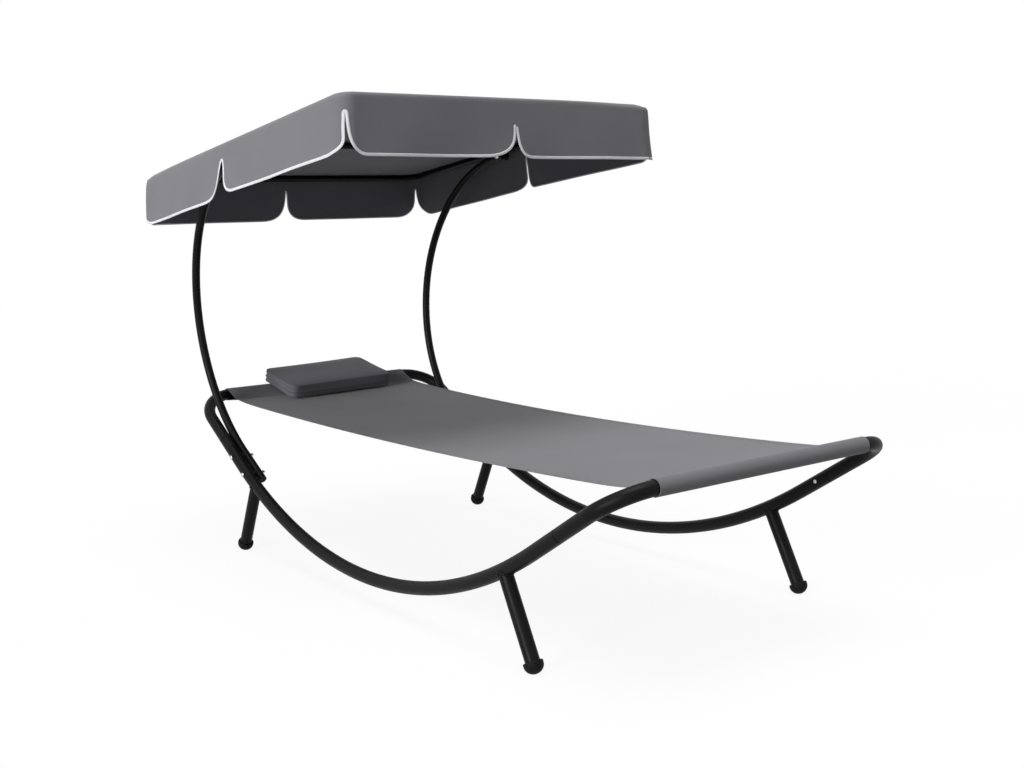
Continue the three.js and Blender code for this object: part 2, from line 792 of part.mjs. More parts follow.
// Ear: a flat steel tongue welded under the hoop, with the pivot hole in its round end
function makeEar(name, side) {
  const shape = new THREE.Shape();
  shape.moveTo(-earHalfWidth, pivotDrop);
  shape.lineTo(-earHalfWidth, 0);
  const roundSteps = 10;
  for (let i = 1; i <= roundSteps; i += 1) {
    const angle = Math.PI + (i * Math.PI) / roundSteps;
    shape.lineTo(earHalfWidth * Math.cos(angle), earHalfWidth * Math.sin(angle));
  }
  shape.lineTo(earHalfWidth, pivotDrop);
  shape.holes.push(new THREE.Path(polygon(pivotBoltRadius + fitGap, fastenerSides)));
  const geometry = new THREE.ExtrudeGeometry(shape, { depth: earThickness, bevelEnabled: false });
  geometry.applyMatrix4(new THREE.Matrix4().makeBasis(axisY, axisZ, axisX));
  geometry.translate(side * hoopHalfWidth - earThickness / 2, 0, 0);
  const cope = sweep(hoopRun(1), hoopRadius + fitGap, hoopSides);
  return piece(`${name}_pivot_ear`, cut(geometry, [cope]), steelPaint);
}

const earInnerX = hoopHalfWidth - earThickness / 2;
const spacerLength = earInnerX - postTopX - postRadius - 2 * fitGap;

function makePivotHardware(name, side) {
  const inward = axisX.clone().multiplyScalar(-side);
  const outward = axisX.clone().multiplyScalar(side);
  const hole = pivotBoltRadius + fitGap;
  const spacerProfile = [
    [hole, 0], [spacerRadius, 0], [spacerRadius, spacerLength], [hole, spacerLength], [hole, 0],
  ];
  const spacer = turned(
    `${name}_pivot_spacer`, spacerProfile, blackPlastic, pivotAt(side, earInnerX - fitGap), inward,
  );
  const headSeat = hoopHalfWidth + earThickness / 2 + fitGap;
  const nutSeat = postTopX - postRadius - fitGap * 2;
  const length = headSeat - nutSeat + wingBossHeight + boltTail;
  const profile = boltProfile(pivotBoltRadius, length, pivotHeadRadius, pivotHeadHeight);
  const bolt = turned(`${name}_pivot_bolt`, profile, zinc, pivotAt(side, headSeat), outward);
  const nut = piece(`${name}_wing_nut`, wingNutGeometry(), zinc);
  nut.position.copy(pivotAt(side, nutSeat));
  nut.quaternion.setFromUnitVectors(axisY, inward);
  return [spacer, bolt, nut];
}

// Ear of the wing nut: shares of its span, of the boss's height and of its rise above the boss
const wingShares = [
  [0.75, 0.45, 0], [0.91, 0.8, 0.05], [0.97, 1, 0.3], [0.95, 1, 0.7], [0.88, 1, 0.93], [0.8, 1, 0.95],
  [0.65, 1, 0.6],
];
const wingFootShare = 0.15;
const wingHeelShare = 0.85;
const bossTaperShare = 0.8;

function wingNutGeometry() {
  const hole = pivotBoltRadius + fitGap;
  const taper = wingBossRadius * bossTaperShare;
  const bossProfile = [
    [hole, 0], [wingBossRadius, 0], [taper, wingBossHeight], [hole, wingBossHeight], [hole, 0],
  ];
  const bossPoints = bossProfile.map(([radius, height]) => new THREE.Vector2(radius, height));
  const boss = new THREE.LatheGeometry(bossPoints, fastenerSides);
  const inside = (hole + taper) / 2;
  const edge = wingShares.map(([out, up, tip]) => (
    new THREE.Vector2(out * wingSpan, up * wingBossHeight + tip * wingRise)));
  const wing = new THREE.Shape([
    new THREE.Vector2(inside, wingFootShare * wingBossHeight),
    ...edge,
    new THREE.Vector2(inside, wingHeelShare * wingBossHeight),
  ]);
  const wings = [0, Math.PI].map((turn) => {
    const options = { depth: wingThickness, bevelEnabled: false };
    const blade = new THREE.ExtrudeGeometry(wing, options);
    blade.translate(0, 0, -wingThickness / 2);
    blade.rotateY(turn);
    return blade;
  });
  return join([boss, ...wings]);
}

// Cover: an outer body less an inner one, with slits cut up from the hem
const coverTop = hoopRadius + coverGap + coverCloth;
const coverHalfWidth = hoopHalfWidth + hoopRadius + coverEase + coverCloth;
const coverHalfLength = hoopHalfLength + hoopRadius + coverEase + coverCloth;
const valanceTop = coverTop - coverEdgeRound;

// The valance hangs plumb from the tilted top, so it leans along the canopy as it falls
const plumbLean = new THREE.Matrix4()
  .makeTranslation(0, (pivotDrop + valanceTop) * Math.tan(canopyTilt), 0)
  .multiply(new THREE.Matrix4().makeShear(0, 0, 0, 0, 0, -Math.tan(canopyTilt)));

function coverBody(inset, extraDrop) {
  const cornerSteps = 4;
  const sideSteps = 4;
  const outline = (growX, growY) => roundedRectangle(
    coverHalfWidth - inset + growX, coverHalfLength - inset + growY,
    coverCornerRadius - inset, cornerSteps, sideSteps, sideSteps,
  );
  const hemDrop = valanceDrop - coverEdgeRound;
  const top = coverTop - inset;
  const level = (points, height) => points.map((p) => hoopPlace(p.x, p.y).setZ(pivotDrop + height));
  const hung = (drop) => level(outline((valanceSideSplay * drop) / hemDrop, 0), valanceTop - drop)
    .map((p) => p.applyMatrix4(plumbLean));
  const rings = [hemDrop + extraDrop, hemDrop / 2, 0].map(hung);
  const roundInset = coverEdgeRound * (1 - Math.SQRT1_2);
  rings.push(level(outline(-roundInset, -roundInset), top - roundInset));
  const flatEdge = outline(-coverEdgeRound, -coverEdgeRound);
  const topShares = [1, 0.95, 0.78, 0.5, 0.25, 0.02];
  for (const share of topShares) {
    rings.push(flatEdge.map((p) => {
      const x = p.x * share;
      const y = p.y * share;
      return hoopPlace(x, y).setZ(pivotDrop + top - coverSagAt(x, y));
    }));
  }
  return loft(rings);
}

// The cloth sags in two bays, one on each side of the crossbar
function coverSagAt(x, along) {
  const acrossShare = x / (hoopHalfWidth - hoopRadius);
  const bayShare = (2 * Math.abs(along)) / (hoopHalfLength - hoopRadius) - 1;
  return coverSag * Math.max(0, 1 - acrossShare ** 2) * Math.max(0, 1 - bayShare ** 2);
}

// A slit that opens to a round corner on each flap; its face is square to the turned Y axis
function slitCutter(height, leftWidth, rightWidth, turn, x, along) {
  const hem = coverTop - valanceDrop;
  const shape = new THREE.Shape();
  shape.moveTo(-leftWidth, hem - cutOverrun);
  shape.lineTo(rightWidth, hem - cutOverrun);
  shape.lineTo(rightWidth, hem);
  shape.quadraticCurveTo(slitHalfWidth, hem, slitHalfWidth, hem + flapCornerHeight);
  shape.lineTo(slitTopHalfWidth, hem + height);
  shape.lineTo(-slitTopHalfWidth, hem + height);
  shape.lineTo(-slitHalfWidth, hem + flapCornerHeight);
  shape.quadraticCurveTo(-slitHalfWidth, hem, -leftWidth, hem);
  const reach = coverCornerRadius + valanceSideSplay + cutOverrun;
  const options = { depth: 2 * reach, bevelEnabled: false, curveSegments: 5 };
  const cutter = new THREE.ExtrudeGeometry(shape, options);
  cutter.translate(0, 0, -reach);
  cutter.rotateX(Math.PI / 2);
  cutter.rotateZ(turn);
  const place = hoopPlace(x, along);
  cutter.translate(place.x, place.y, pivotDrop);
  return cutter.applyMatrix4(plumbLean);
}

// Slits in the two sides, in the two ends and at the four corners; one side flap is cut wider
function makeCover() {
  const cutters = [coverBody(coverCloth, cutOverrun)];
  const quarter = Math.PI / 2;
  const sideSlits = [[-1, nearSideSlitShift, wideFlapCornerWidth], [1, farSideSlitShift, flapCornerWidth]];
  for (const [side, shift, headWidth] of sideSlits) {
    const x = side * coverHalfWidth;
    cutters.push(slitCutter(sideSlitHeight, flapCornerWidth, headWidth, quarter, x, shift));
  }
  for (const [, end] of ends) {
    const x = -end * endSlitShift;
    cutters.push(slitCutter(endSlitHeight, flapCornerWidth, flapCornerWidth, 0, x, end * coverHalfLength));
    for (const [, side] of sides) {
      const turn = (side * end * Math.PI) / 4;
      const cornerX = side * (coverHalfWidth - coverCornerRadius / 2);
      const along = end * (coverHalfLength - coverCornerRadius / 2);
      const width = flapCornerWidth * Math.SQRT1_2;
      cutters.push(slitCutter(cornerSlitHeight, width, width, turn + quarter, cornerX, along));
    }
  }
  return piece('canopy_cover', cut(coverBody(0, 0), cutters), coverFabric);
}

function makeCanopy() {
  const canopy = new THREE.Group();
  canopy.position.set(0, pivotPoint.y, pivotPoint.z);
  canopy.rotation.x = -canopyTilt;
  canopy.add(...ends.map(([name, end]) => makeHoop(name, end)), makeCrossbar(), makeCover());
  for (const [name, side] of sides) canopy.add(makeEar(name, side), makeHoopScrew(name, side));
  return canopy;
}

// Sling sheet height: a shallow hollow that steepens towards each seam
const seamReach = crossbarReach - slingSeamDistance;
const seamHeight = crossbarCentre.z - slingSeamFall;
const slingMidHeight = crossbarCentre.z - slingDip;

function slingPoint(x, reach) {
  const share = Math.min(Math.abs(reach) / seamReach, 1);
  const base = slingMidHeight + slingRise * share ** 2;
  const settled = Math.exp((Math.abs(reach) - seamReach) / slingSettle);
  const endLift = (seamHeight - slingMidHeight - slingRise) * settled;
  const halfWidth = slingHalfWidth + slingEdgeSpread * share ** 2;
  const hollow = slingCentreSag * (1 - share ** 4) * (1 - x ** 2);
  return new THREE.Vector3(x * halfWidth, reach, base + endLift - hollow);
}

// Sleeve outline in side view: the tube's round, drawn to a tip at the seam
function teardrop(radius, end) {
  const outerRadius = tubeRadius + sleeveGap + slingCloth;
  const distance = (Math.hypot(slingSeamDistance, slingSeamFall) * radius) / outerRadius;
  const tipAngle = Math.atan2(-slingSeamFall, -end * slingSeamDistance);
  const open = Math.acos(radius / distance);
  const arcSteps = 12;
  const points = [];
  for (let i = 0; i <= arcSteps; i += 1) {
    const angle = tipAngle + open + (i / arcSteps) * (2 * Math.PI - 2 * open);
    points.push(new THREE.Vector2(radius * Math.cos(angle), radius * Math.sin(angle)));
  }
  points.push(new THREE.Vector2(distance * Math.cos(tipAngle), distance * Math.sin(tipAngle)));
  return points;
}

function sleeve(end) {
  const shape = new THREE.Shape(teardrop(tubeRadius + sleeveGap + slingCloth, end));
  shape.holes.push(new THREE.Path(teardrop(tubeRadius + sleeveGap, end)));
  const options = { depth: 2 * slingSleeveHalfLength, bevelEnabled: false };
  const geometry = new THREE.ExtrudeGeometry(shape, options);
  geometry.applyMatrix4(new THREE.Matrix4().makeBasis(axisY, axisZ, axisX));
  geometry.translate(-slingSleeveHalfLength, end * crossbarReach, crossbarCentre.z);
  return geometry;
}

function makeSling() {
  const acrossSteps = 8;
  const lengthShares = [0, 0.15, 0.32, 0.5, 0.66, 0.78, 0.87, 0.93, 0.97, 1];
  const reachShares = [...lengthShares.slice(1).map((s) => -s).reverse(), ...lengthShares];
  const rows = reachShares.map((share) => {
    const row = [];
    for (let c = 0; c <= acrossSteps; c += 1) {
      row.push(slingPoint((2 * c) / acrossSteps - 1, share * seamReach));
    }
    return row;
  });
  const lapStep = (end) => new THREE.Vector3(0, end * slingLap, slingLap / 4);
  const lap = (row, end) => row.map((p) => p.clone().add(lapStep(end)));
  rows.unshift(lap(rows[0], -1));
  rows.push(lap(rows.at(-1), 1));
  const sleeves = ends.map(([, end]) => sleeve(end));
  return piece('sling', join([sheet(rows, slingCloth), ...sleeves]), slingFabric);
}

// Pillow: lies on the sling at its front edge and on the rear sleeve
function pillowOutline(grow) {
  const cornerSteps = 4;
  const lengthSteps = 8;
  const widthSteps = 4;
  const points = roundedRectangle(
    pillowHalfLength + grow, pillowHalfWidth + grow, pillowCornerRadius + grow,
    cornerSteps, lengthSteps, widthSteps,
  );
  return points.map((p) => {
    const nearX = Math.abs(p.x) / pillowHalfLength;
    const nearY = Math.abs(p.y) / pillowHalfWidth;
    const pullY = pillowDrawIn * Math.max(0, 1 - nearX ** 2) * (nearY > nearX ? 1 : 0);
    const pullX = pillowDrawIn * Math.max(0, 1 - nearY ** 2) * (nearX > nearY ? 1 : 0);
    return new THREE.Vector2(p.x - Math.sign(p.x) * pullX, p.y - Math.sign(p.y) * pullY);
  });
}

function makePillow() {
  const half = pillowThickness / 2;
  const level = (points, height) => points.map((p) => new THREE.Vector3(p.x, p.y, height));
  const face = (shares, crown, way) => shares.map((share) => pillowOutline(-pillowSeamRound).map((p) => {
    const x = p.x * share;
    const y = p.y * share;
    const dome = (1 - (x / pillowHalfLength) ** 4) * (1 - (y / pillowHalfWidth) ** 4);
    return new THREE.Vector3(x, y, way * (half + crown * dome));
  }));
  const faceShares = [0.05, 0.4, 0.7, 0.88, 1];
  const rings = [
    ...face(faceShares, pillowUnderCrown, -1),
    level(pillowOutline(0), -half + pillowSeamRound),
    level(pillowOutline(pillowSideBulge), 0),
    level(pillowOutline(0), half - pillowSeamRound),
    ...face([...faceShares].reverse(), pillowCrown, 1),
  ];
  const geometry = loft(rings);
  geometry.rotateZ(pillowTurn);
  const pillow = piece('pillow', geometry, pillowFabric);
  const sleeveTop = crossbarCentre.z + tubeRadius + sleeveGap + slingCloth;
  const cornerShare = pillowHalfLength / slingHalfWidth;
  const clothTop = slingPoint(cornerShare, pillowFrontReach).z + slingCloth / 2;
  const frontRest = clothTop + 4 * fitGap - pillowSeamRound;
  const slope = Math.atan2(sleeveTop - frontRest, crossbarReach - pillowFrontReach);
  const lift = half + pillowUnderCrown + 3 * fitGap;
  const halfDepth = pillowHalfWidth * Math.cos(pillowTurn) + pillowHalfLength * Math.sin(pillowTurn);
  const along = new THREE.Vector3(0, Math.cos(slope), Math.sin(slope));
  const normal = new THREE.Vector3(0, -Math.sin(slope), Math.cos(slope));
  const frontEdge = new THREE.Vector3(pillowShift, pillowFrontReach, frontRest);
  pillow.position.copy(frontEdge.addScaledVector(along, halfDepth).addScaledVector(normal, lift));
  pillow.rotation.x = slope;
  return pillow;
}

const lounger = new THREE.Group();
for (const [name, side] of sides) {
  lounger.add(makeRail(name, side), makePost(name, side), ...makePostPlugs(name, side));
  lounger.add(...makePostBolts(name, side), makeFrameScrew(name, side), ...makePivotHardware(name, side));
  for (const [endName, end] of ends) {
    lounger.add(makeLeg(`${endName}_${name}`, side, end), makeFoot(`${endName}_${name}`, side, end));
  }
}
for (const [name, end] of ends) lounger.add(makeEndFrame(name, end));
lounger.add(makeSling(), makePillow(), makeCanopy());

// The origin is on the floor in the middle of the footprint
lounger.updateMatrixWorld(true);
const extent = new THREE.Box3().setFromObject(lounger, true);
lounger.position.y = -(extent.min.y + extent.max.y) / 2;

export default lounger;
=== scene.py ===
"""Looks of a sun lounger with a tilting canopy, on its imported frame. Metres, +Y to the head end, +Z up."""

import math

import bmesh
import bpy
import numpy as np
from mathutils import Matrix, Vector
from mathutils.bvhtree import BVHTree


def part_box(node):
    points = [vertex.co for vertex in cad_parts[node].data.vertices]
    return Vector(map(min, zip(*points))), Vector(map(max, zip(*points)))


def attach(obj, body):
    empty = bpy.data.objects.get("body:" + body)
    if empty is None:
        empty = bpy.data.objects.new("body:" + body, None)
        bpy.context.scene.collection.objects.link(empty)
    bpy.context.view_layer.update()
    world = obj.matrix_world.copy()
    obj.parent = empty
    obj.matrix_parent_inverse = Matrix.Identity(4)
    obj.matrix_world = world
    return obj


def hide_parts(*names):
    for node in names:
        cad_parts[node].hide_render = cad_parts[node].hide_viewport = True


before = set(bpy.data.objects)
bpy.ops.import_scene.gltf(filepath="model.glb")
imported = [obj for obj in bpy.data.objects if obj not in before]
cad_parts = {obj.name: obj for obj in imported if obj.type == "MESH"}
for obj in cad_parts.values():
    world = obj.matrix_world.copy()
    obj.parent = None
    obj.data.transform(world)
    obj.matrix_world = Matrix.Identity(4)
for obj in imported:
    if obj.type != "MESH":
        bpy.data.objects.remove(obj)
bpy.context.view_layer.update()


def middle_of(node):
    low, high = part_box(node)
    return (low + high) / 2


# Frame tube and rails
RAIL_MIDDLE = middle_of("right_rail")
TUBE_RADIUS = (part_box("right_rail")[1].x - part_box("right_rail")[0].x) / 2
TUBE_WALL = 0.0015
HALF_TRACK = RAIL_MIDDLE.x
MID_Y = RAIL_MIDDLE.y
RAIL_LOW_HEIGHT = 0.0676
RAIL_BEND_RADIUS = 1.377
RAIL_ARC_REACH = 0.723
RAIL_END_REACH = 0.814
RAIL_SLOPE = math.asin(RAIL_ARC_REACH / RAIL_BEND_RADIUS)

# End frames
CROSSBAR_REACH = 1.002
CORNER_BEND_RADIUS = 0.110
SPIGOT_LENGTH = 0.060
SPIGOT_CLEARANCE = 0.0007
SWAGE_TAPER = 0.002
FIT_GAP = 0.0003

# Legs and feet
LEG_REACH = 0.618
LEG_ANGLE = math.asin(LEG_REACH / RAIL_BEND_RADIUS)
FOOT_RADIUS = 0.0233
FOOT_SHOULDER = 0.0028
FOOT_SKIRT_HEIGHT = 0.007
FOOT_DOME_DEPTH = 0.0215
FOOT_PLUG_HEIGHT = 0.024
FOOT_FLAT_DEPTH = 0.0012
FOOT_GROOVE = 0.0005
WELD_RADIUS = 0.0028
WELD_RIPPLES = 18
WELD_RIPPLE_SHARE = 0.13
CANOPY_WELD_SHARE = 0.7

# Canopy posts
POST_RADIUS = 0.0125
POST_WALL = 0.0012
POST_LOWER_BOLT_REACH = 0.671
POST_UPPER_BOLT_REACH = 0.744
POST_TAIL = 0.032
POST_STAND_OFF = 0.0036
POST_BEND_RADIUS = 0.490
POST_PIVOT_ANGLE = math.radians(172.6)
POST_PAST_PIVOT = 0.012
POST_HOOP_CLEARANCE = 0.003
PLUG_FLANGE = 0.0022
PLUG_DEPTH = 0.014

# Fasteners
BOLT_RADIUS = 0.003
BOLT_HEAD_RADIUS = 0.007
BOLT_HEAD_HEIGHT = 0.0036
BOLT_TAIL = 0.004
NUT_ACROSS_CORNERS = 0.0115
NUT_HEIGHT = 0.005
NUT_FACE_SHARE = 1.02
SADDLE_RADIUS = 0.008
FRAME_SCREW_REACH = 0.783
SCREW_HEAD_RADIUS = 0.0048
SCREW_HEAD_HEIGHT = 0.0024
SCREW_RADIUS = 0.0024
SCREW_LENGTH = 0.009
HOOP_SCREW_LENGTH = 0.0072

# Canopy frame
HOOP_RADIUS = 0.010
HOOP_WALL = 0.0012
HOOP_HALF_WIDTH = 0.489
HOOP_HALF_LENGTH = 0.610
HOOP_CORNER_RADIUS = 0.045
HOOP_JOINT_OFFSET = 0.070
HOOP_SPIGOT_LENGTH = 0.050
HOOP_SCREW_INSET = 0.022
CANOPY_TILT = math.radians(7)
PIVOT = middle_of("right_pivot_bolt")
PIVOT_OFFSET = 0.044
PIVOT_DROP = 0.020
EAR_THICKNESS = 0.004
EAR_HALF_WIDTH = 0.013
PIVOT_BOLT_RADIUS = 0.004
PIVOT_HEAD_RADIUS = 0.009
PIVOT_HEAD_HEIGHT = 0.0042
SPACER_RADIUS = 0.009
WING_BOSS_RADIUS = 0.0075
WING_BOSS_HEIGHT = 0.008
WING_SPAN = 0.017
WING_RISE = 0.009
WING_THICKNESS = 0.0026

# Canopy cover
COVER_CLOTH = 0.0011
COVER_TOP = 0.0126
COVER_HALF_WIDTH = 0.515
COVER_HALF_LENGTH = 0.636
COVER_CORNER_RADIUS = 0.042
COVER_EDGE_ROUND = 0.008
COVER_SAG = 0.007
CORNER_DROOPS = (0.000, 0.010, 0.006, 0.009)
DROOP_START = 0.026
DROOP_SPREAD = 0.170
VALANCE_DROP = 0.151
VALANCE_SIDE_SPLAY = 0.011
VALANCE_END_SPLAY = 0.001
PLUMB = math.tan(CANOPY_TILT)
SLIT_HALF_WIDTH = 0.0022
SLIT_TOP_HALF_WIDTH = 0.0008
SLIT_SPREAD = 0.020
EDGE_CURL = 0.006
EDGE_CURL_SPREAD = 0.045
BULGE_SPREAD = 0.060
FLAP_WAVE = 0.0024
FLAP_WAVES = 13
TAPE_WIDTH = 0.0066
TAPE_INNER_WIDTH = 0.0030
TAPE_HALF_THICKNESS = 0.0012
TAPE_SEAM_SHARE = 0.72

# Stitches: pitch, length and thickness
TAPE_STITCH = (0.0042, 0.0031, 0.0006)
SLING_STITCH = (0.0046, 0.0034, 0.0006)

# Sling
SLING_CLOTH = 0.0014
SLING_SLEEVE_HALF_LENGTH = 0.334
SLING_SEAM_DISTANCE = 0.066
SLING_SEAM_FALL = 0.010
SLING_HALF_WIDTH = 0.318
SLING_EDGE_SPREAD = 0.013
SLING_DIP = 0.038
SLING_RISE = 0.022
SLING_SETTLE = 0.042
SLING_CENTRE_SAG = 0.009
SLING_SHIFT = -0.009
SLING_LAP = 0.007
SLEEVE_GAP = 0.0009
SLING_HEM_WIDTH = 0.016
SLING_HEM_STEP = 0.0007
SLING_HEM_START = 0.93
SLING_HEM_SEAM_SHARE = 0.85
SLING_PUCKER = 0.0005
SLING_PUCKER_LENGTH = 0.031
SLING_PUCKER_REACH = 0.05

# Pillow
PILLOW_HALF_LENGTH = 0.194
PILLOW_HALF_WIDTH = 0.094
PILLOW_THICKNESS = 0.041
PILLOW_CORNER_RADIUS = 0.024
PILLOW_FRONT_REACH = 0.852
PILLOW_SHIFT = 0.001
PILLOW_TURN = math.radians(5)
PILLOW_PIPING_RADIUS = 0.0019

# Facets
TUBE_SIDES = 48
SMALL_SIDES = 32
EDGE_EASE = 0.0004
STEP_ANGLE = math.radians(3)
STRAIGHT_RINGS = 9
WELD_STEPS = 120
WELD_SIDES = 10
NUT_SIDES = 72
PIPING_SIDES = 12
UPRIGHT_SHARE = 0.9

SIDES = (("left", -1), ("right", 1))
ENDS = (("front", -1), ("rear", 1))
X_AXIS = np.array((1.0, 0.0, 0.0))
Y_AXIS = np.array((0.0, 1.0, 0.0))
Z_AXIS = np.array((0.0, 0.0, 1.0))


def unit(v):
    return np.asarray(v, float) / np.linalg.norm(v)


def full_turn(count):
    return np.linspace(0, 2 * math.pi, count, endpoint=False)


# Directions in the plane of two others, one for each angle
def spokes_at(angles, first, second):
    return np.cos(angles)[:, None] * first + np.sin(angles)[:, None] * second


def square_to(way):
    return unit(np.cross(way, Z_AXIS if abs(way[2]) < UPRIGHT_SHARE else X_AXIS))


# Points of an arc that turns from one in-plane direction towards another
def arc(centre, radius, start_way, turn_way, start, end):
    steps = max(2, math.ceil(abs(end - start) / STEP_ANGLE))
    angles = np.linspace(start, end, steps + 1)
    return np.asarray(centre) + radius * spokes_at(angles, start_way, turn_way)


# One line through several pieces, with points that fall together dropped
def run(*pieces):
    points = np.vstack([np.atleast_2d(p) for p in pieces])
    kept = [points[0]]
    for point in points[1:]:
        if np.linalg.norm(point - kept[-1]) > EDGE_EASE / 4:
            kept.append(point)
    return np.array(kept)


def tangents_of(line, closed=False):
    if closed:
        ways = np.roll(line, -1, 0) - np.roll(line, 1, 0)
    else:
        ways = np.gradient(line, axis=0)
    return ways / np.linalg.norm(ways, axis=1)[:, None]


# Two cross directions at each point, turned as little as possible on the way
def cross_frames(line, closed=False):
    ways = tangents_of(line, closed)
    side = square_to(ways[0])
    sides = []
    for way in ways:
        side = unit(side - way * np.dot(side, way))
        sides.append(side)
    sides = np.array(sides)
    return sides, np.cross(ways, sides)


def round_rings(line, radii, count, closed=False):
    first, second = cross_frames(line, closed)
    spokes = spokes_at(full_turn(count), first[:, None, :], second[:, None, :])
    return line[:, None, :] + np.broadcast_to(radii, len(line))[:, None, None] * spokes


# Quads between rings of equal count, joined round each ring and, if asked, from the last to the first
def ring_faces(ring_count, count, wrap=False):
    faces = []
    for r in range(ring_count if wrap else ring_count - 1):
        a, b = r * count, ((r + 1) % ring_count) * count
        for i in range(count):
            j = (i + 1) % count
            faces.append((a + i, a + j, b + j, b + i))
    return faces


def mesh_of(name, points, faces, sharp=40):
    mesh = bpy.data.meshes.new(name)
    mesh.from_pydata([tuple(p) for p in np.asarray(points).reshape(-1, 3)], [], faces)
    mesh.update()
    mesh.polygons.foreach_set("use_smooth", [True] * len(mesh.polygons))
    mesh.set_sharp_from_angle(angle=math.radians(sharp))
    return mesh


# A closed body through rings, with a flat fan at each end or wrapped into a loop
def ring_mesh(name, rings, wrap=False, sharp=40):
    rings = np.asarray(rings)
    ring_count, count = rings.shape[:2]
    faces = ring_faces(ring_count, count, wrap)
    if not wrap:
        faces.append(tuple(reversed(range(count))))
        faces.append(tuple(range((ring_count - 1) * count, ring_count * count)))
    return mesh_of(name, rings, faces, sharp)


# The line with one more point close to each end, for an eased edge
def eased_line(line):
    start = line[0] + unit(line[1] - line[0]) * EDGE_EASE
    end = line[-1] + unit(line[-2] - line[-1]) * EDGE_EASE
    return np.vstack([line[:1], [start], line[1:-1], [end], line[-1:]])


# A hollow tube with eased rims; radii holds one radius for each point of the line
def hollow_tube(name, line, radii, wall, count=TUBE_SIDES):
    radii = np.broadcast_to(np.asarray(radii, float), len(line))
    eased = eased_line(line)
    outer = np.concatenate([[radii[0] - EDGE_EASE], radii, [radii[-1] - EDGE_EASE]])
    inner = np.concatenate([[radii[0]], radii, [radii[-1]]]) - wall
    outside = round_rings(eased, outer, count)
    inside = round_rings(eased, inner, count)[::-1]
    return ring_mesh(name, np.vstack([outside, inside]), wrap=True)


# A turned piece: its profile is (radius, height) along a direction from a seat
def lathe_rings(profile, seat, way, count=SMALL_SIDES):
    way = unit(way)
    first = square_to(way)
    spokes = spokes_at(full_turn(count), first, np.cross(way, first))
    return [np.asarray(seat) + way * height + radius * spokes for radius, height in profile]


def turned(name, profile, seat, way, wrap=False, count=SMALL_SIDES, sharp=40):
    return ring_mesh(name, lathe_rings(profile, seat, way, count), wrap, sharp)


# A straight hollow tube between two rims of any shape
def tube_between(name, start_rim, end_rim, spokes, wall):
    steps = np.linspace(0, 1, STRAIGHT_RINGS)[:, None, None]
    outside = start_rim * (1 - steps) + end_rim * steps
    return ring_mesh(name, np.vstack([outside, (outside - wall * spokes)[::-1]]), wrap=True)


# Several meshes as one
def joined(name, meshes):
    points, faces = [], []
    for mesh in meshes:
        base = len(points)
        points += [tuple(v.co) for v in mesh.vertices]
        faces += [tuple(base + i for i in p.vertices) for p in mesh.polygons]
        bpy.data.meshes.remove(mesh)
    return mesh_of(name, points, faces)


def new_object(name, data):
    made = bpy.data.objects.new(name, data)
    bpy.context.scene.collection.objects.link(made)
    return made


# The mesh that an object's modifiers make; the object itself is removed
def baked(made, name):
    bpy.context.view_layer.update()
    finished = bpy.data.meshes.new_from_object(made.evaluated_get(bpy.context.evaluated_depsgraph_get()))
    bpy.data.objects.remove(made)
    finished.name = name
    return finished


# A UV map that gives each vertex one place
def add_flat_map(mesh, name, places):
    layer = mesh.uv_layers.new(name=name)
    loops = np.zeros(len(mesh.loops), int)
    mesh.loops.foreach_get("vertex_index", loops)
    layer.data.foreach_set("uv", np.asarray(places, float)[loops].ravel())


# Turns the faces of a closed mesh outwards
def face_outwards(mesh):
    solid = bmesh.new()
    solid.from_mesh(mesh)
    inwards = solid.calc_volume(signed=True) < 0
    solid.free()
    if inwards:
        mesh.flip_normals()


# Puts a finished mesh in the scene, on its body, in place of the nodes that it stands for
def add(mesh, body, slot, *replaced):
    face_outwards(mesh)
    made = new_object(mesh.name, mesh)
    if not mesh.materials:
        mesh.materials.append(FINISHES[slot])
    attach(made, body)
    if replaced:
        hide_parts(*replaced)
    return made


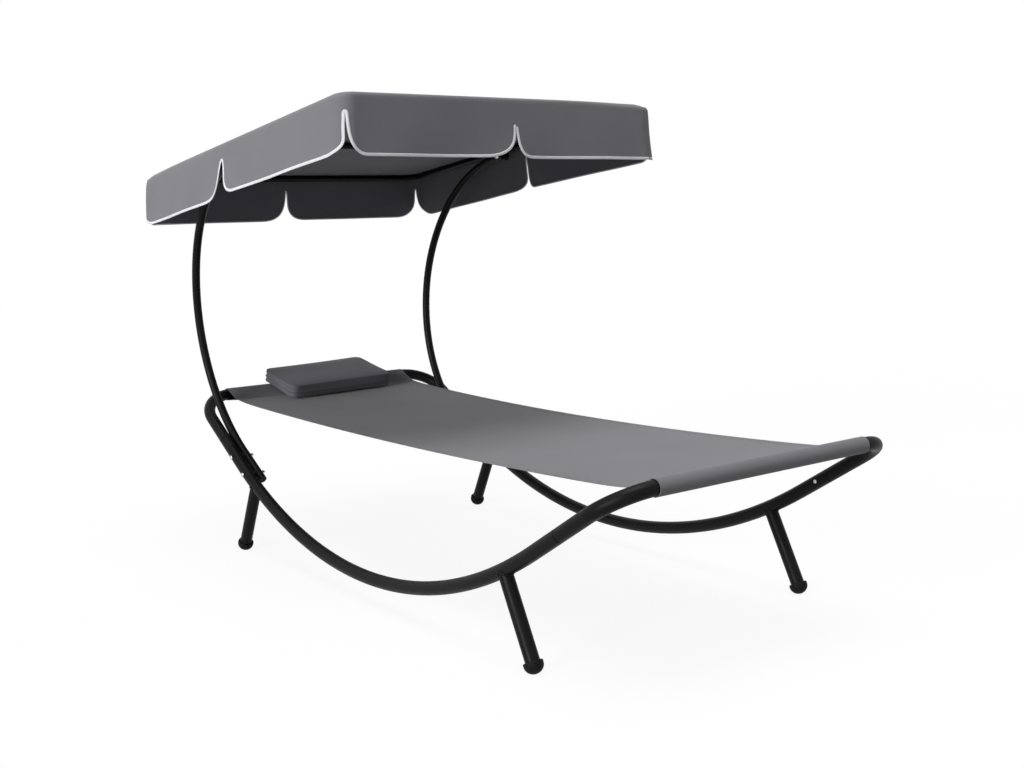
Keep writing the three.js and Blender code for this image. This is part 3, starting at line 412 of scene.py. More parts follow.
class Shader:
    """A material's node tree, with short calls for the nodes that the finishes below use."""

    def __init__(self, name):
        self.material = bpy.data.materials.new(name)
        self.material.use_nodes = True
        self.tree = self.material.node_tree
        self.surface = self.tree.nodes["Principled BSDF"]

    def node(self, kind, **settings):
        made = self.tree.nodes.new(kind)
        for key, value in settings.items():
            if key in made.inputs:
                made.inputs[key].default_value = value
            else:
                setattr(made, key, value)
        return made

    def link(self, output, target):
        self.tree.links.new(output, target)

    def set(self, **values):
        for key, value in values.items():
            self.surface.inputs[key.replace("_", " ")].default_value = value

    # Joins a colour, a roughness and a normal to the surface, then sets the plain values
    def finish(self, colour, roughness=None, normal=None, **values):
        for name, output in (("Base Color", colour), ("Roughness", roughness), ("Normal", normal)):
            if output is not None:
                self.link(output, self.surface.inputs[name])
        self.set(**values)
        return self.material

    def place(self, scale, source="Object"):
        where = self.node("ShaderNodeTexCoord")
        mapping = self.node("ShaderNodeMapping", Scale=scale)
        self.link(where.outputs[source], mapping.inputs["Vector"])
        return mapping.outputs["Vector"]

    def noise(self, scale, detail=3.0, source="Object", stretch=(1, 1, 1)):
        made = self.node("ShaderNodeTexNoise", Scale=scale, Detail=detail)
        self.link(self.place(stretch, source), made.inputs["Vector"])
        return made.outputs["Fac"]

    def ramp(self, fac, low, high, start=0.0, end=1.0):
        ends = {"From Min": start, "From Max": end, "To Min": low, "To Max": high}
        made = self.node("ShaderNodeMapRange", **ends)
        self.link(fac, made.inputs["Value"])
        return made.outputs["Result"]

    def math(self, operation, first, second):
        made = self.node("ShaderNodeMath", operation=operation)
        for target, value in zip(made.inputs, (first, second)):
            if isinstance(value, (int, float)):
                target.default_value = value
            else:
                self.link(value, target)
        return made.outputs[0]

    def colours(self, fac, low, high, start=0.0, end=1.0):
        made = self.node("ShaderNodeValToRGB")
        for stop, colour, position in zip(made.color_ramp.elements, (low, high), (start, end)):
            stop.color = (*colour, 1)
            stop.position = position
        self.link(fac, made.inputs["Fac"])
        return made.outputs["Color"]

    def bump(self, height, strength, distance, normal=None):
        made = self.node("ShaderNodeBump", Strength=strength, Distance=distance)
        self.link(height, made.inputs["Height"])
        if normal is not None:
            self.link(normal, made.inputs["Normal"])
        return made.outputs["Normal"]

    # Two crossed sets of threads that pass over and under each other
    def weave(self, pitch, source="UV"):
        split = self.node("ShaderNodeSeparateXYZ")
        self.link(self.place((2 * math.pi / pitch,) * 3, source), split.inputs[0])
        heights, halves = [], []
        for axis in (0, 1):
            wave = self.math("SINE", split.outputs[axis], 0.0)
            heights.append(self.math("ABSOLUTE", wave, 0.0))
            half = self.math("MULTIPLY", split.outputs[axis], 0.5)
            halves.append(self.math("SINE", half, 0.0))
        threads = self.math("MAXIMUM", *heights)
        crossing = self.math("MULTIPLY", *halves)
        return self.math("ADD", threads, self.math("MULTIPLY", crossing, 0.6))


# Black powder coat with a fine orange-peel grain and a little rub on it
def powder_coat():
    s = Shader("black_powder_coat")
    patch = s.noise(14.0, 4.0)
    colour = s.colours(patch, (0.0045, 0.0045, 0.0050), (0.0075, 0.0075, 0.0080), 0.3, 0.75)
    peel = s.bump(s.noise(900.0, 2.0), 0.22, PEEL_DEPTH)
    return s.finish(colour, s.ramp(patch, 0.36, 0.5, 0.3, 0.7), peel, Specular_IOR_Level=0.09)


# Bright zinc plate, drawn fine along the piece and dulled in spots
def zinc_plate():
    s = Shader("zinc_plate")
    spots = s.noise(260.0, 4.0)
    colour = s.colours(spots, (0.42, 0.42, 0.43), (0.72, 0.73, 0.75), 0.3, 0.7)
    lines = s.bump(s.noise(1500.0, 2.0, stretch=(0.2, 1, 1)), 0.15, GRAIN_DEPTH)
    return s.finish(colour, s.ramp(spots, 0.42, 0.22), lines, Metallic=1.0)


# Black moulded plastic with a spark-eroded texture
def moulded_plastic():
    s = Shader("moulded_plastic")
    grain = s.noise(1400.0, 2.0)
    colour = s.colours(s.noise(90.0), (0.008, 0.008, 0.0085), (0.014, 0.014, 0.015))
    relief = s.bump(grain, 0.3, GRAIN_DEPTH)
    return s.finish(colour, s.ramp(grain, 0.5, 0.66), relief, Specular_IOR_Level=0.15)


# Black rubber, duller where it has been handled, with a few scuffs
def foot_rubber():
    s = Shader("foot_rubber")
    scuff = s.noise(120.0, 6.0, stretch=(1, 1, 3))
    colour = s.colours(scuff, (0.005, 0.005, 0.005), (0.011, 0.011, 0.0107), 0.45, 0.8)
    relief = s.bump(s.noise(700.0, 3.0), 0.3, RUBBER_DEPTH)
    return s.finish(colour, s.ramp(scuff, 0.5, 0.72), relief, Specular_IOR_Level=0.10)


# Woven polyester: threads, slubs, broad shade changes and a faint sheen
def woven_cloth(name, dark, light, pitch, wrinkle=0.25, source="UV"):
    s = Shader(name)
    threads = s.weave(pitch, source)
    slub = s.noise(60.0, 5.0, source, (1, 9, 1))
    broad = s.noise(3.2, 4.0, source)
    shade = s.math("ADD", s.math("MULTIPLY", slub, 0.35), s.math("MULTIPLY", broad, 0.65))
    tone = s.math("ADD", shade, s.ramp(threads, -0.12, 0.12, 0.2, 1.5))
    fine = s.bump(threads, 0.35, THREAD_DEPTH)
    folds = s.bump(s.noise(9.0, 2.0, source, (1, 1.6, 1)), wrinkle, FOLD_DEPTH, fine)
    return s.finish(s.colours(tone, dark, light, 0.25, 0.75), s.ramp(slub, 0.72, 0.9), folds,
                    Specular_IOR_Level=0.3, Sheen_Weight=0.12, Sheen_Roughness=0.5)


# White edge tape: a fine rib across its width
def edge_tape():
    s = Shader("edge_tape")
    rib = s.weave(TAPE_WEAVE)
    colour = s.colours(s.noise(30.0, 3.0, "UV"), (0.78, 0.78, 0.81), (0.88, 0.88, 0.9))
    return s.finish(colour, s.ramp(rib, 0.7, 0.85, 0.2, 1.5), s.bump(rib, 0.35, THREAD_DEPTH),
                    Specular_IOR_Level=0.3, Sheen_Weight=0.1)


def thread(name, colour):
    s = Shader(name)
    twist = s.noise(2600.0, 1.0)
    low = tuple(0.7 * c for c in colour)
    return s.finish(s.colours(twist, low, colour, 0.35, 0.65), normal=s.bump(twist, 0.4, TWIST_DEPTH),
                    Roughness=0.7, Sheen_Weight=0.15)


# Pitches of the weaves, and the depths that the surfaces' reliefs stand for
COVER_WEAVE = 0.0009
TAPE_WEAVE = 0.0011
CANVAS_WEAVE = 0.0012
PEEL_DEPTH = 0.0004
GRAIN_DEPTH = 0.0002
RUBBER_DEPTH = 0.0003
THREAD_DEPTH = 0.00025
TWIST_DEPTH = 0.0001
FOLD_DEPTH = 0.006

COVER_OUTSIDE = woven_cloth("cover_cloth_outside", (0.170, 0.167, 0.183), (0.215, 0.211, 0.231),
                            COVER_WEAVE)
# The cover's inner face: the same cloth as the outside, painted darker as painted shade for the hollow under
# the canopy
COVER_INSIDE_SHADED = woven_cloth("cover_cloth_inside_painted_shade", (0.130, 0.126, 0.146), (0.165, 0.160, 0.184),
                           COVER_WEAVE)
SLING_FACE = woven_cloth("sling_cloth", (0.127, 0.124, 0.135), (0.161, 0.157, 0.171), CANVAS_WEAVE, 0.12)
PILLOW_FACE = woven_cloth("pillow_cloth", (0.098, 0.095, 0.110), (0.130, 0.126, 0.145), CANVAS_WEAVE, 0.2,
                          "Object")
TAPE = edge_tape()
GREY_THREAD = thread("grey_thread", (0.16, 0.16, 0.17))
WHITE_THREAD = thread("white_thread", (0.72, 0.72, 0.74))
FINISHES = {
    "frame_steel": powder_coat(),
    "zinc_hardware": zinc_plate(),
    "plug_plastic": moulded_plastic(),
    "foot_rubber": foot_rubber(),
    "pillow_cloth": PILLOW_FACE,
}


# A row of stitches along a curve: one small rounded body for each, turned along the curve
def stitch_tree():
    tree = bpy.data.node_groups.new("stitch_row", "GeometryNodeTree")
    face = tree.interface
    entries = {"Geometry": "Geometry", "Pitch": "Float", "Length": "Float", "Thickness": "Float",
               "Thread": "Material"}
    for name, kind in entries.items():
        face.new_socket(name, in_out="INPUT", socket_type=f"NodeSocket{kind}")
    face.new_socket("Geometry", in_out="OUTPUT", socket_type="NodeSocketGeometry")
    kinds = ("NodeGroupInput", "GeometryNodeResampleCurve", "GeometryNodeMeshUVSphere",
             "ShaderNodeCombineXYZ", "GeometryNodeInputTangent", "FunctionNodeAlignRotationToVector",
             "GeometryNodeInstanceOnPoints", "GeometryNodeRealizeInstances", "GeometryNodeSetMaterial",
             "NodeGroupOutput")
    start, resample, bead, size, tangent, turn, copies, real, paint, end = map(tree.nodes.new, kinds)
    resample.mode = "LENGTH"
    turn.axis = "Z"
    for name, value in (("Segments", 6), ("Rings", 4), ("Radius", 0.5)):
        bead.inputs[name].default_value = value
    joins = (
        (start, "Geometry", resample, "Curve"), (start, "Pitch", resample, "Length"),
        (start, "Thickness", size, "X"), (start, "Thickness", size, "Y"), (start, "Length", size, "Z"),
        (tangent, "Tangent", turn, "Vector"), (resample, "Curve", copies, "Points"),
        (bead, "Mesh", copies, "Instance"), (turn, "Rotation", copies, "Rotation"),
        (size, "Vector", copies, "Scale"), (copies, "Instances", real, "Geometry"),
        (real, "Geometry", paint, "Geometry"), (start, "Thread", paint, "Material"),
        (paint, "Geometry", end, "Geometry"),
    )
    for source, output, target, entry in joins:
        tree.links.new(source.outputs[output], target.inputs[entry])
    return tree


STITCH_TREE = stitch_tree()


def stitches(name, lines, pitch, length, thickness, material):
    curve = bpy.data.curves.new(name + "_lines", "CURVE")
    curve.dimensions = "3D"
    for line in lines:
        spline = curve.splines.new("POLY")
        spline.points.add(len(line) - 1)
        spline.points.foreach_set("co", np.column_stack([line, np.ones(len(line))]).ravel())
    guide = new_object(name + "_lines", curve)
    rows = guide.modifiers.new("stitches", "NODES")
    rows.node_group = STITCH_TREE
    values = {"Pitch": pitch, "Length": length, "Thickness": thickness, "Thread": material}
    for item in STITCH_TREE.interface.items_tree:
        if item.in_out == "INPUT" and item.name in values:
            rows[item.identifier] = values[item.name]
    mesh = baked(guide, name)
    mesh.materials.clear()
    mesh.materials.append(material)
    mesh.polygons.foreach_set("material_index", [0] * len(mesh.polygons))
    mesh.polygons.foreach_set("use_smooth", [True] * len(mesh.polygons))
    return mesh


# Rail line in side view
def rail_point(x, reach):
    along = abs(reach)
    way = math.copysign(1, reach)
    if along <= RAIL_ARC_REACH:
        rise = RAIL_BEND_RADIUS - math.sqrt(RAIL_BEND_RADIUS**2 - along**2)
        return np.array((x, MID_Y + reach, RAIL_LOW_HEIGHT + rise))
    past = along - RAIL_ARC_REACH
    return rail_point(x, way * RAIL_ARC_REACH) + past * np.array((0, way, math.tan(RAIL_SLOPE)))


def uphill(end):
    return np.array((0, end * math.cos(RAIL_SLOPE), math.sin(RAIL_SLOPE)))


def rail_line(x):
    centre = (x, MID_Y, RAIL_LOW_HEIGHT + RAIL_BEND_RADIUS)
    bend = arc(centre, RAIL_BEND_RADIUS, -Z_AXIS, Y_AXIS, -RAIL_SLOPE, RAIL_SLOPE)
    dense = np.linspace(0, 1, 2 * len(bend) - 1)
    bend = np.column_stack([np.interp(dense, np.linspace(0, 1, len(bend)), bend[:, k]) for k in range(3)])
    reach = bend[:, 1] - MID_Y
    bend[:, 2] = RAIL_LOW_HEIGHT + RAIL_BEND_RADIUS - np.sqrt(RAIL_BEND_RADIUS**2 - reach**2)
    return run(rail_point(x, -RAIL_END_REACH), bend, rail_point(x, RAIL_END_REACH))


def make_rails():
    for name, side in SIDES:
        mesh = hollow_tube(f"{name}_rail_tube", rail_line(side * HALF_TRACK), TUBE_RADIUS, TUBE_WALL)
        add(mesh, "lounger_frame", "frame_steel", f"{name}_rail")


def end_frame_line(end):
    up = uphill(end)
    mouth = rail_point(0, end * RAIL_END_REACH)
    neck = mouth + up * FIT_GAP
    bend_foot = rail_point(0, end * CROSSBAR_REACH) - up * CORNER_BEND_RADIUS
    corner_x = HALF_TRACK - CORNER_BEND_RADIUS
    across = HALF_TRACK * X_AXIS
    starts = [mouth - up * SPIGOT_LENGTH, neck, neck + up * SWAGE_TAPER]
    left = arc(bend_foot - corner_x * X_AXIS, CORNER_BEND_RADIUS, -X_AXIS, up, 0, math.pi / 2)
    right = arc(bend_foot + corner_x * X_AXIS, CORNER_BEND_RADIUS, up, X_AXIS, 0, math.pi / 2)
    return run([p - across for p in starts], left, right, [p + across for p in reversed(starts)])


# Radii of a run whose first and last stretch is a reduced spigot
def swaged(line, full, reduced):
    radii = np.full(len(line), full)
    radii[[0, 1, -2, -1]] = reduced
    return radii


def make_end_frames():
    for name, end in ENDS:
        line = end_frame_line(end)
        radii = swaged(line, TUBE_RADIUS, TUBE_RADIUS - TUBE_WALL - SPIGOT_CLEARANCE)
        mesh = hollow_tube(f"{name}_end_tube", line, radii, TUBE_WALL)
        add(mesh, "lounger_frame", "frame_steel", f"{name}_end_frame")


def leg_line(side, end):
    outward = np.array((0, end * math.sin(LEG_ANGLE), -math.cos(LEG_ANGLE)))
    top = rail_point(side * HALF_TRACK, end * LEG_REACH)
    tilted = math.hypot(FOOT_DOME_DEPTH * math.cos(LEG_ANGLE), FOOT_RADIUS * math.sin(LEG_ANGLE))
    length = (top[2] - tilted + FOOT_FLAT_DEPTH) / math.cos(LEG_ANGLE)
    return top, top + outward * length, outward


# A bead of weld round a tube where it meets another of the same size, rippled as it was laid
def weld_bead(name, top, outward, along, radius, bead):
    turns = full_turn(WELD_STEPS)
    spokes = spokes_at(turns, along, np.cross(outward, along))
    reach = np.sqrt(np.maximum(radius**2 - (radius * np.sin(turns)) ** 2, 0))
    line = top + radius * spokes + np.maximum(reach, radius / 6)[:, None] * outward
    ripple = bead * (1 + WELD_RIPPLE_SHARE * np.sin(WELD_RIPPLES * turns))
    rings = round_rings(line, ripple, WELD_SIDES, closed=True)
    return ring_mesh(name, rings, wrap=True, sharp=80)


def make_legs():
    for end_name, end in ENDS:
        for side_name, side in SIDES:
            name = f"{end_name}_{side_name}"
            top, bottom, outward = leg_line(side, end)
            along = np.cross(outward, X_AXIS)
            angles = full_turn(TUBE_SIDES)
            spokes = spokes_at(angles, along, X_AXIS)
            cope = np.abs(np.cos(angles)) * TUBE_RADIUS + FIT_GAP
            collar = top + TUBE_RADIUS * spokes + cope[:, None] * outward
            rim = bottom - FIT_GAP * outward + TUBE_RADIUS * spokes
            mesh = tube_between(f"{name}_leg_tube", collar, rim, spokes, TUBE_WALL)
            add(mesh, "lounger_frame", "frame_steel", f"{name}_leg")
            bead = weld_bead(f"{name}_leg_weld", top, outward, along, TUBE_RADIUS, WELD_RADIUS)
            add(bead, "lounger_frame", "frame_steel")
            add(foot_mesh(name, bottom, outward), "lounger_frame", "foot_rubber", f"{name}_foot")


# Rubber ball foot: a dome with a parting groove, a round shoulder, the leg's socket and a plug up its bore
def foot_mesh(name, bottom, outward):
    dome = np.linspace(0.04, math.pi / 2, 18)
    profile = [(FOOT_RADIUS * math.sin(a), -FOOT_DOME_DEPTH * math.cos(a)) for a in dome]
    profile += [(FOOT_RADIUS, FOOT_GROOVE), (FOOT_RADIUS - FOOT_GROOVE, 2 * FOOT_GROOVE)]
    profile += [(FOOT_RADIUS, 3 * FOOT_GROOVE)]
    for turn in np.linspace(0, math.pi / 2, 9):
        swell = FOOT_RADIUS - FOOT_SHOULDER + FOOT_SHOULDER * math.cos(turn)
        profile.append((swell, FOOT_SKIRT_HEIGHT - FOOT_SHOULDER * (1 - math.sin(turn))))
    rim = TUBE_RADIUS + FIT_GAP
    plug = TUBE_RADIUS - TUBE_WALL - FIT_GAP
    top = FOOT_PLUG_HEIGHT
    profile += [(rim + EDGE_EASE, FOOT_SKIRT_HEIGHT), (rim, FOOT_SKIRT_HEIGHT - EDGE_EASE),
                (rim, -FIT_GAP), (plug, -FIT_GAP), (plug, top - EDGE_EASE), (plug - EDGE_EASE, top)]
    rings = np.array(lathe_rings(profile, bottom, -outward, TUBE_SIDES))
    rings[:, :, 2] = np.maximum(rings[:, :, 2], 0)
    return ring_mesh(f"{name}_foot_cap", rings)


POST_BASE_X = HALF_TRACK - TUBE_RADIUS - POST_RADIUS - POST_STAND_OFF
POST_TOP_X = HOOP_HALF_WIDTH - HOOP_RADIUS - POST_RADIUS - POST_HOOP_CLEARANCE
UPPER_BOLT_POINT = rail_point(0, POST_UPPER_BOLT_REACH)
BOLT_STEP = UPPER_BOLT_POINT - rail_point(0, POST_LOWER_BOLT_REACH)
POST_START_ANGLE = math.atan2(BOLT_STEP[2], BOLT_STEP[1])
POST_CENTRE_Y = UPPER_BOLT_POINT[1] - POST_BEND_RADIUS * math.sin(POST_START_ANGLE)
POST_CENTRE_RISE = POST_BEND_RADIUS * math.cos(POST_START_ANGLE)
POST_PIVOT_RISE = POST_CENTRE_RISE - POST_BEND_RADIUS * math.cos(POST_PIVOT_ANGLE)
POST_LEAN = math.asin((POST_TOP_X - POST_BASE_X) / POST_PIVOT_RISE)


def post_line(side):
    up = np.array((side * math.sin(POST_LEAN), 0, math.cos(POST_LEAN)))
    centre = np.array((side * POST_BASE_X, POST_CENTRE_Y, UPPER_BOLT_POINT[2])) + up * POST_CENTRE_RISE
    bend = arc(centre, POST_BEND_RADIUS, -up, Y_AXIS, POST_START_ANGLE, POST_PIVOT_ANGLE)
    tail_way = np.array((0, math.cos(POST_START_ANGLE), math.sin(POST_START_ANGLE)))
    tail = bend[0] - tail_way * (np.linalg.norm(BOLT_STEP) + POST_TAIL)
    tip = bend[-1] + unit(bend[-1] - bend[-2]) * POST_PAST_PIVOT
    return run(tail, bend, tip)


def plug_profile(depth):
    bore = POST_RADIUS - POST_WALL - FIT_GAP
    half = PLUG_FLANGE / 2
    crown = [(POST_RADIUS * math.cos(a), half + half * math.sin(a)) for a in np.linspace(0, 1.45, 8)]
    return [(bore / 20, -depth), (bore - EDGE_EASE, -depth), (bore, EDGE_EASE - depth), (bore, FIT_GAP),
            (POST_RADIUS, FIT_GAP), *crown]


def make_posts():
    for name, side in SIDES:
        line = post_line(side)
        mesh = hollow_tube(f"{name}_post_tube", line, POST_RADIUS, POST_WALL)
        add(mesh, "lounger_frame", "frame_steel", f"{name}_canopy_post")
        bottom = turned(f"{name}_post_foot_plug", plug_profile(PLUG_DEPTH), line[0], line[0] - line[1])
        add(bottom, "lounger_frame", "plug_plastic", f"{name}_post_bottom_plug")
        short = POST_PAST_PIVOT - PIVOT_BOLT_RADIUS - 2 * FIT_GAP
        top = turned(f"{name}_post_head_plug", plug_profile(short), line[-1], line[-1] - line[-2])
        add(top, "lounger_frame", "plug_plastic", f"{name}_post_top_plug")


# Head and shank of a bolt, head seat at height zero: eased shank end, domed head with a rounded rim
def bolt_profile(shank, length, head, height):
    rise, rim = 0.75 * height, 0.25 * height
    dome = [(head * math.cos(a), rim + rise * math.sin(a)) for a in np.linspace(0, 1.5, 10)]
    return [(shank / 20, -length), (shank * 0.75, -length), (shank, shank * 0.25 - length), (shank, 0),
            (head - EDGE_EASE, 0), *dome]


# Hexagon nut with both faces chamfered to a circle
def nut_mesh(name, seat, way):
    way = unit(way)
    first = square_to(way)
    angles = full_turn(NUT_SIDES)
    spokes = spokes_at(angles, first, np.cross(way, first))
    flat = NUT_ACROSS_CORNERS / 2 * math.cos(math.pi / 6)
    wedge = (angles % (math.pi / 3)) - math.pi / 6
    hexagon = flat / np.cos(wedge)
    circle = np.minimum(hexagon, flat * NUT_FACE_SHARE)
    slope = (hexagon - circle) * math.tan(math.pi / 6)
    hole = np.full(NUT_SIDES, BOLT_RADIUS + FIT_GAP)
    base = np.zeros(NUT_SIDES)
    profile = ((hole, base), (circle, base), (hexagon, slope), (hexagon, NUT_HEIGHT - slope),
               (circle, base + NUT_HEIGHT), (hole, base + NUT_HEIGHT))
    rings = [seat + radius[:, None] * spokes + height[:, None] * way for radius, height in profile]
    return ring_mesh(name, rings, wrap=True, sharp=25)


def make_post_bolts():
    for name, side in SIDES:
        outward = side * X_AXIS
        inner_x = POST_BASE_X - POST_RADIUS - FIT_GAP
        for level, reach in (("lower", POST_LOWER_BOLT_REACH), ("upper", POST_UPPER_BOLT_REACH)):
            point = rail_point(0, reach)
            seat = point + outward * (HALF_TRACK + TUBE_RADIUS + FIT_GAP)
            length = HALF_TRACK + TUBE_RADIUS + FIT_GAP - inner_x + NUT_HEIGHT + BOLT_TAIL
            profile = bolt_profile(BOLT_RADIUS, length, BOLT_HEAD_RADIUS, BOLT_HEAD_HEIGHT)
            bolt = turned(f"{name}_{level}_dome_bolt", profile, seat, outward)
            add(bolt, "lounger_frame", "zinc_hardware", f"{name}_post_{level}_bolt")
            nut = nut_mesh(f"{name}_{level}_hex_nut", point + outward * inner_x, -outward)
            add(nut, "lounger_frame", "zinc_hardware", f"{name}_post_{level}_nut")
            washer = saddle_mesh(f"{name}_{level}_saddle_washer", side, point)
            add(washer, "lounger_frame", "plug_plastic", f"{name}_post_{level}_saddle")


# Saddle washer: its rail face and its post face follow the two tubes
def saddle_mesh(name, side, point):
    angles = full_turn(SMALL_SIDES)
    along = uphill(1)
    across = unit(np.cross(along, X_AXIS))
    rail_gap, post_gap = TUBE_RADIUS + FIT_GAP, POST_RADIUS + FIT_GAP
    rings = []
    for radius, outer in ((BOLT_RADIUS + FIT_GAP, True), (SADDLE_RADIUS, True),
                          (SADDLE_RADIUS, False), (BOLT_RADIUS + FIT_GAP, False)):
        offset = radius * np.sin(angles)
        if outer:
            x = HALF_TRACK - np.sqrt(rail_gap**2 - offset**2)
        else:
            x = POST_BASE_X + np.sqrt(post_gap**2 - offset**2)
        rings.append(point + radius * spokes_at(angles, along, across) + (side * x)[:, None] * X_AXIS)
    return ring_mesh(name, rings, wrap=True)


# Pan-head screw
def screw_mesh(name, seat, way, length):
    profile = bolt_profile(SCREW_RADIUS, length, SCREW_HEAD_RADIUS, SCREW_HEAD_HEIGHT)
    return turned(name, profile, seat, way)


def make_frame_screws():
    for name, side in SIDES:
        seat = rail_point(side * (HALF_TRACK - TUBE_RADIUS - FIT_GAP), -FRAME_SCREW_REACH)
        mesh = screw_mesh(f"{name}_rail_screw", seat, -side * X_AXIS, SCREW_LENGTH)
        add(mesh, "lounger_frame", "zinc_hardware", f"front_{name}_joint_screw")


# Canopy frame: x across, along from the pivot crossbar towards the head, height above the hoops' centres
def canopy_place(x, along, height):
    y = np.asarray(along) - PIVOT_OFFSET
    z = np.asarray(height) + PIVOT_DROP
    c, s = math.cos(CANOPY_TILT), math.sin(CANOPY_TILT)
    x, y, z = np.broadcast_arrays(np.asarray(x, float), PIVOT.y + c * y + s * z, PIVOT.z - s * y + c * z)
    return np.stack([x, y, z], -1)


CANOPY_ALONG = canopy_place(0, 1, 0) - canopy_place(0, 0, 0)
CANOPY_UP = canopy_place(0, 0, 1) - canopy_place(0, 0, 0)


def hoop_line(end):
    outward = end * CANOPY_ALONG
    corner_x = HOOP_HALF_WIDTH - HOOP_CORNER_RADIUS
    corner_along = end * (HOOP_HALF_LENGTH - HOOP_CORNER_RADIUS)
    neck = -HOOP_JOINT_OFFSET - FIT_GAP
    spigot = [HOOP_SPIGOT_LENGTH - HOOP_JOINT_OFFSET, neck, neck - SWAGE_TAPER]
    starts = [-HOOP_JOINT_OFFSET] if end > 0 else spigot
    left_centre, right_centre = (canopy_place(x, corner_along, 0) for x in (-corner_x, corner_x))
    left = arc(left_centre, HOOP_CORNER_RADIUS, -X_AXIS, outward, 0, math.pi / 2)
    right = arc(right_centre, HOOP_CORNER_RADIUS, outward, X_AXIS, 0, math.pi / 2)
    return run([canopy_place(-HOOP_HALF_WIDTH, a, 0) for a in starts], left, right,
               [canopy_place(HOOP_HALF_WIDTH, a, 0) for a in reversed(starts)])


def make_hoops():
    for name, end in ENDS:
        line = hoop_line(end)
        radii = np.full(len(line), HOOP_RADIUS)
        if end < 0:
            radii = swaged(line, HOOP_RADIUS, HOOP_RADIUS - HOOP_WALL - SPIGOT_CLEARANCE)
        mesh = hollow_tube(f"canopy_{name}_tube", line, radii, HOOP_WALL)
        add(mesh, "canopy", "frame_steel", f"canopy_{name}_hoop")
    for name, side in SIDES:
        x = side * (HOOP_HALF_WIDTH - HOOP_RADIUS - FIT_GAP)
        seat = canopy_place(x, HOOP_SCREW_INSET - HOOP_JOINT_OFFSET, 0)
        mesh = screw_mesh(f"{name}_canopy_screw", seat, -side * X_AXIS, HOOP_SCREW_LENGTH)
        add(mesh, "canopy", "zinc_hardware", f"{name}_hoop_screw")


# Crossbar with coped ends against the rear hoop, and the weld round each
def make_crossbar():
    angles = full_turn(SMALL_SIDES)
    spokes = spokes_at(angles, CANOPY_UP, CANOPY_ALONG)
    cope = np.sqrt((HOOP_RADIUS + FIT_GAP) ** 2 - (HOOP_RADIUS * np.cos(angles)) ** 2)[:, None] * X_AXIS
    ends = [canopy_place(side * HOOP_HALF_WIDTH, 0, 0) - side * cope for side in (-1, 1)]
    rims = [end + HOOP_RADIUS * spokes for end in ends]
    bar = tube_between("canopy_cross_tube", *rims, spokes, HOOP_WALL)
    add(bar, "canopy", "frame_steel", "canopy_crossbar")
    for name, side in SIDES:
        top = canopy_place(side * HOOP_HALF_WIDTH, 0, 0)
        bead = weld_bead(f"{name}_cross_weld", top, -side * X_AXIS, CANOPY_ALONG, HOOP_RADIUS,
                         CANOPY_WELD_SHARE * WELD_RADIUS)
        add(bead, "canopy", "frame_steel")


# Flat piece: an outline swept through a thickness, its rims eased by a bevel
def plate_mesh(name, outline, way, thickness, bevel):
    outline = np.asarray(outline)
    rings = [outline - way * thickness / 2, outline + way * thickness / 2]
    made = new_object(name, ring_mesh(name, rings))
    ease = made.modifiers.new("ease", "BEVEL")
    ease.width = bevel
    ease.segments = 3
    ease.limit_method = "ANGLE"
    return baked(made, name)


def make_ears():
    for name, side in SIDES:
        centre = np.array((side * HOOP_HALF_WIDTH, PIVOT.y, PIVOT.z))
        turn = np.linspace(math.pi, 2 * math.pi, 25)
        low = centre + EAR_HALF_WIDTH * spokes_at(turn, CANOPY_ALONG, CANOPY_UP)
        lift = (PIVOT_DROP - HOOP_RADIUS / 2) * CANOPY_UP
        outline = np.vstack([centre + EAR_HALF_WIDTH * CANOPY_ALONG + lift,
                             centre - EAR_HALF_WIDTH * CANOPY_ALONG + lift, low])
        mesh = plate_mesh(f"{name}_ear_plate", outline, X_AXIS, EAR_THICKNESS, EDGE_EASE)
        add(mesh, "canopy", "frame_steel", f"{name}_pivot_ear")


def make_pivots():
    ear_inner = HOOP_HALF_WIDTH - EAR_THICKNESS / 2
    spacer_length = ear_inner - POST_TOP_X - POST_RADIUS - 2 * FIT_GAP
    hole = PIVOT_BOLT_RADIUS + FIT_GAP
    for name, side in SIDES:
        on_axis = np.array((0, PIVOT.y, PIVOT.z))
        inward = -side * X_AXIS
        spacer = [(hole, 0), (SPACER_RADIUS - EDGE_EASE, 0), (SPACER_RADIUS, EDGE_EASE),
                  (SPACER_RADIUS, spacer_length - EDGE_EASE), (SPACER_RADIUS - EDGE_EASE, spacer_length),
                  (hole, spacer_length)]
        seat = on_axis - inward * (ear_inner - FIT_GAP)
        mesh = turned(f"{name}_spacer_ring", spacer, seat, inward, wrap=True)
        add(mesh, "lounger_frame", "plug_plastic", f"{name}_pivot_spacer")
        head_seat = HOOP_HALF_WIDTH + EAR_THICKNESS / 2 + FIT_GAP
        nut_seat = POST_TOP_X - POST_RADIUS - 2 * FIT_GAP
        length = head_seat - nut_seat + WING_BOSS_HEIGHT + BOLT_TAIL
        profile = bolt_profile(PIVOT_BOLT_RADIUS, length, PIVOT_HEAD_RADIUS, PIVOT_HEAD_HEIGHT)
        bolt = turned(f"{name}_pivot_dome_bolt", profile, on_axis - inward * head_seat, -inward)
        add(bolt, "lounger_frame", "zinc_hardware", f"{name}_pivot_bolt")
        nut = wing_nut_mesh(f"{name}_wing_nut_casting", on_axis - inward * nut_seat, inward)
        add(nut, f"{name}_wing_nut", "zinc_hardware", f"{name}_wing_nut")


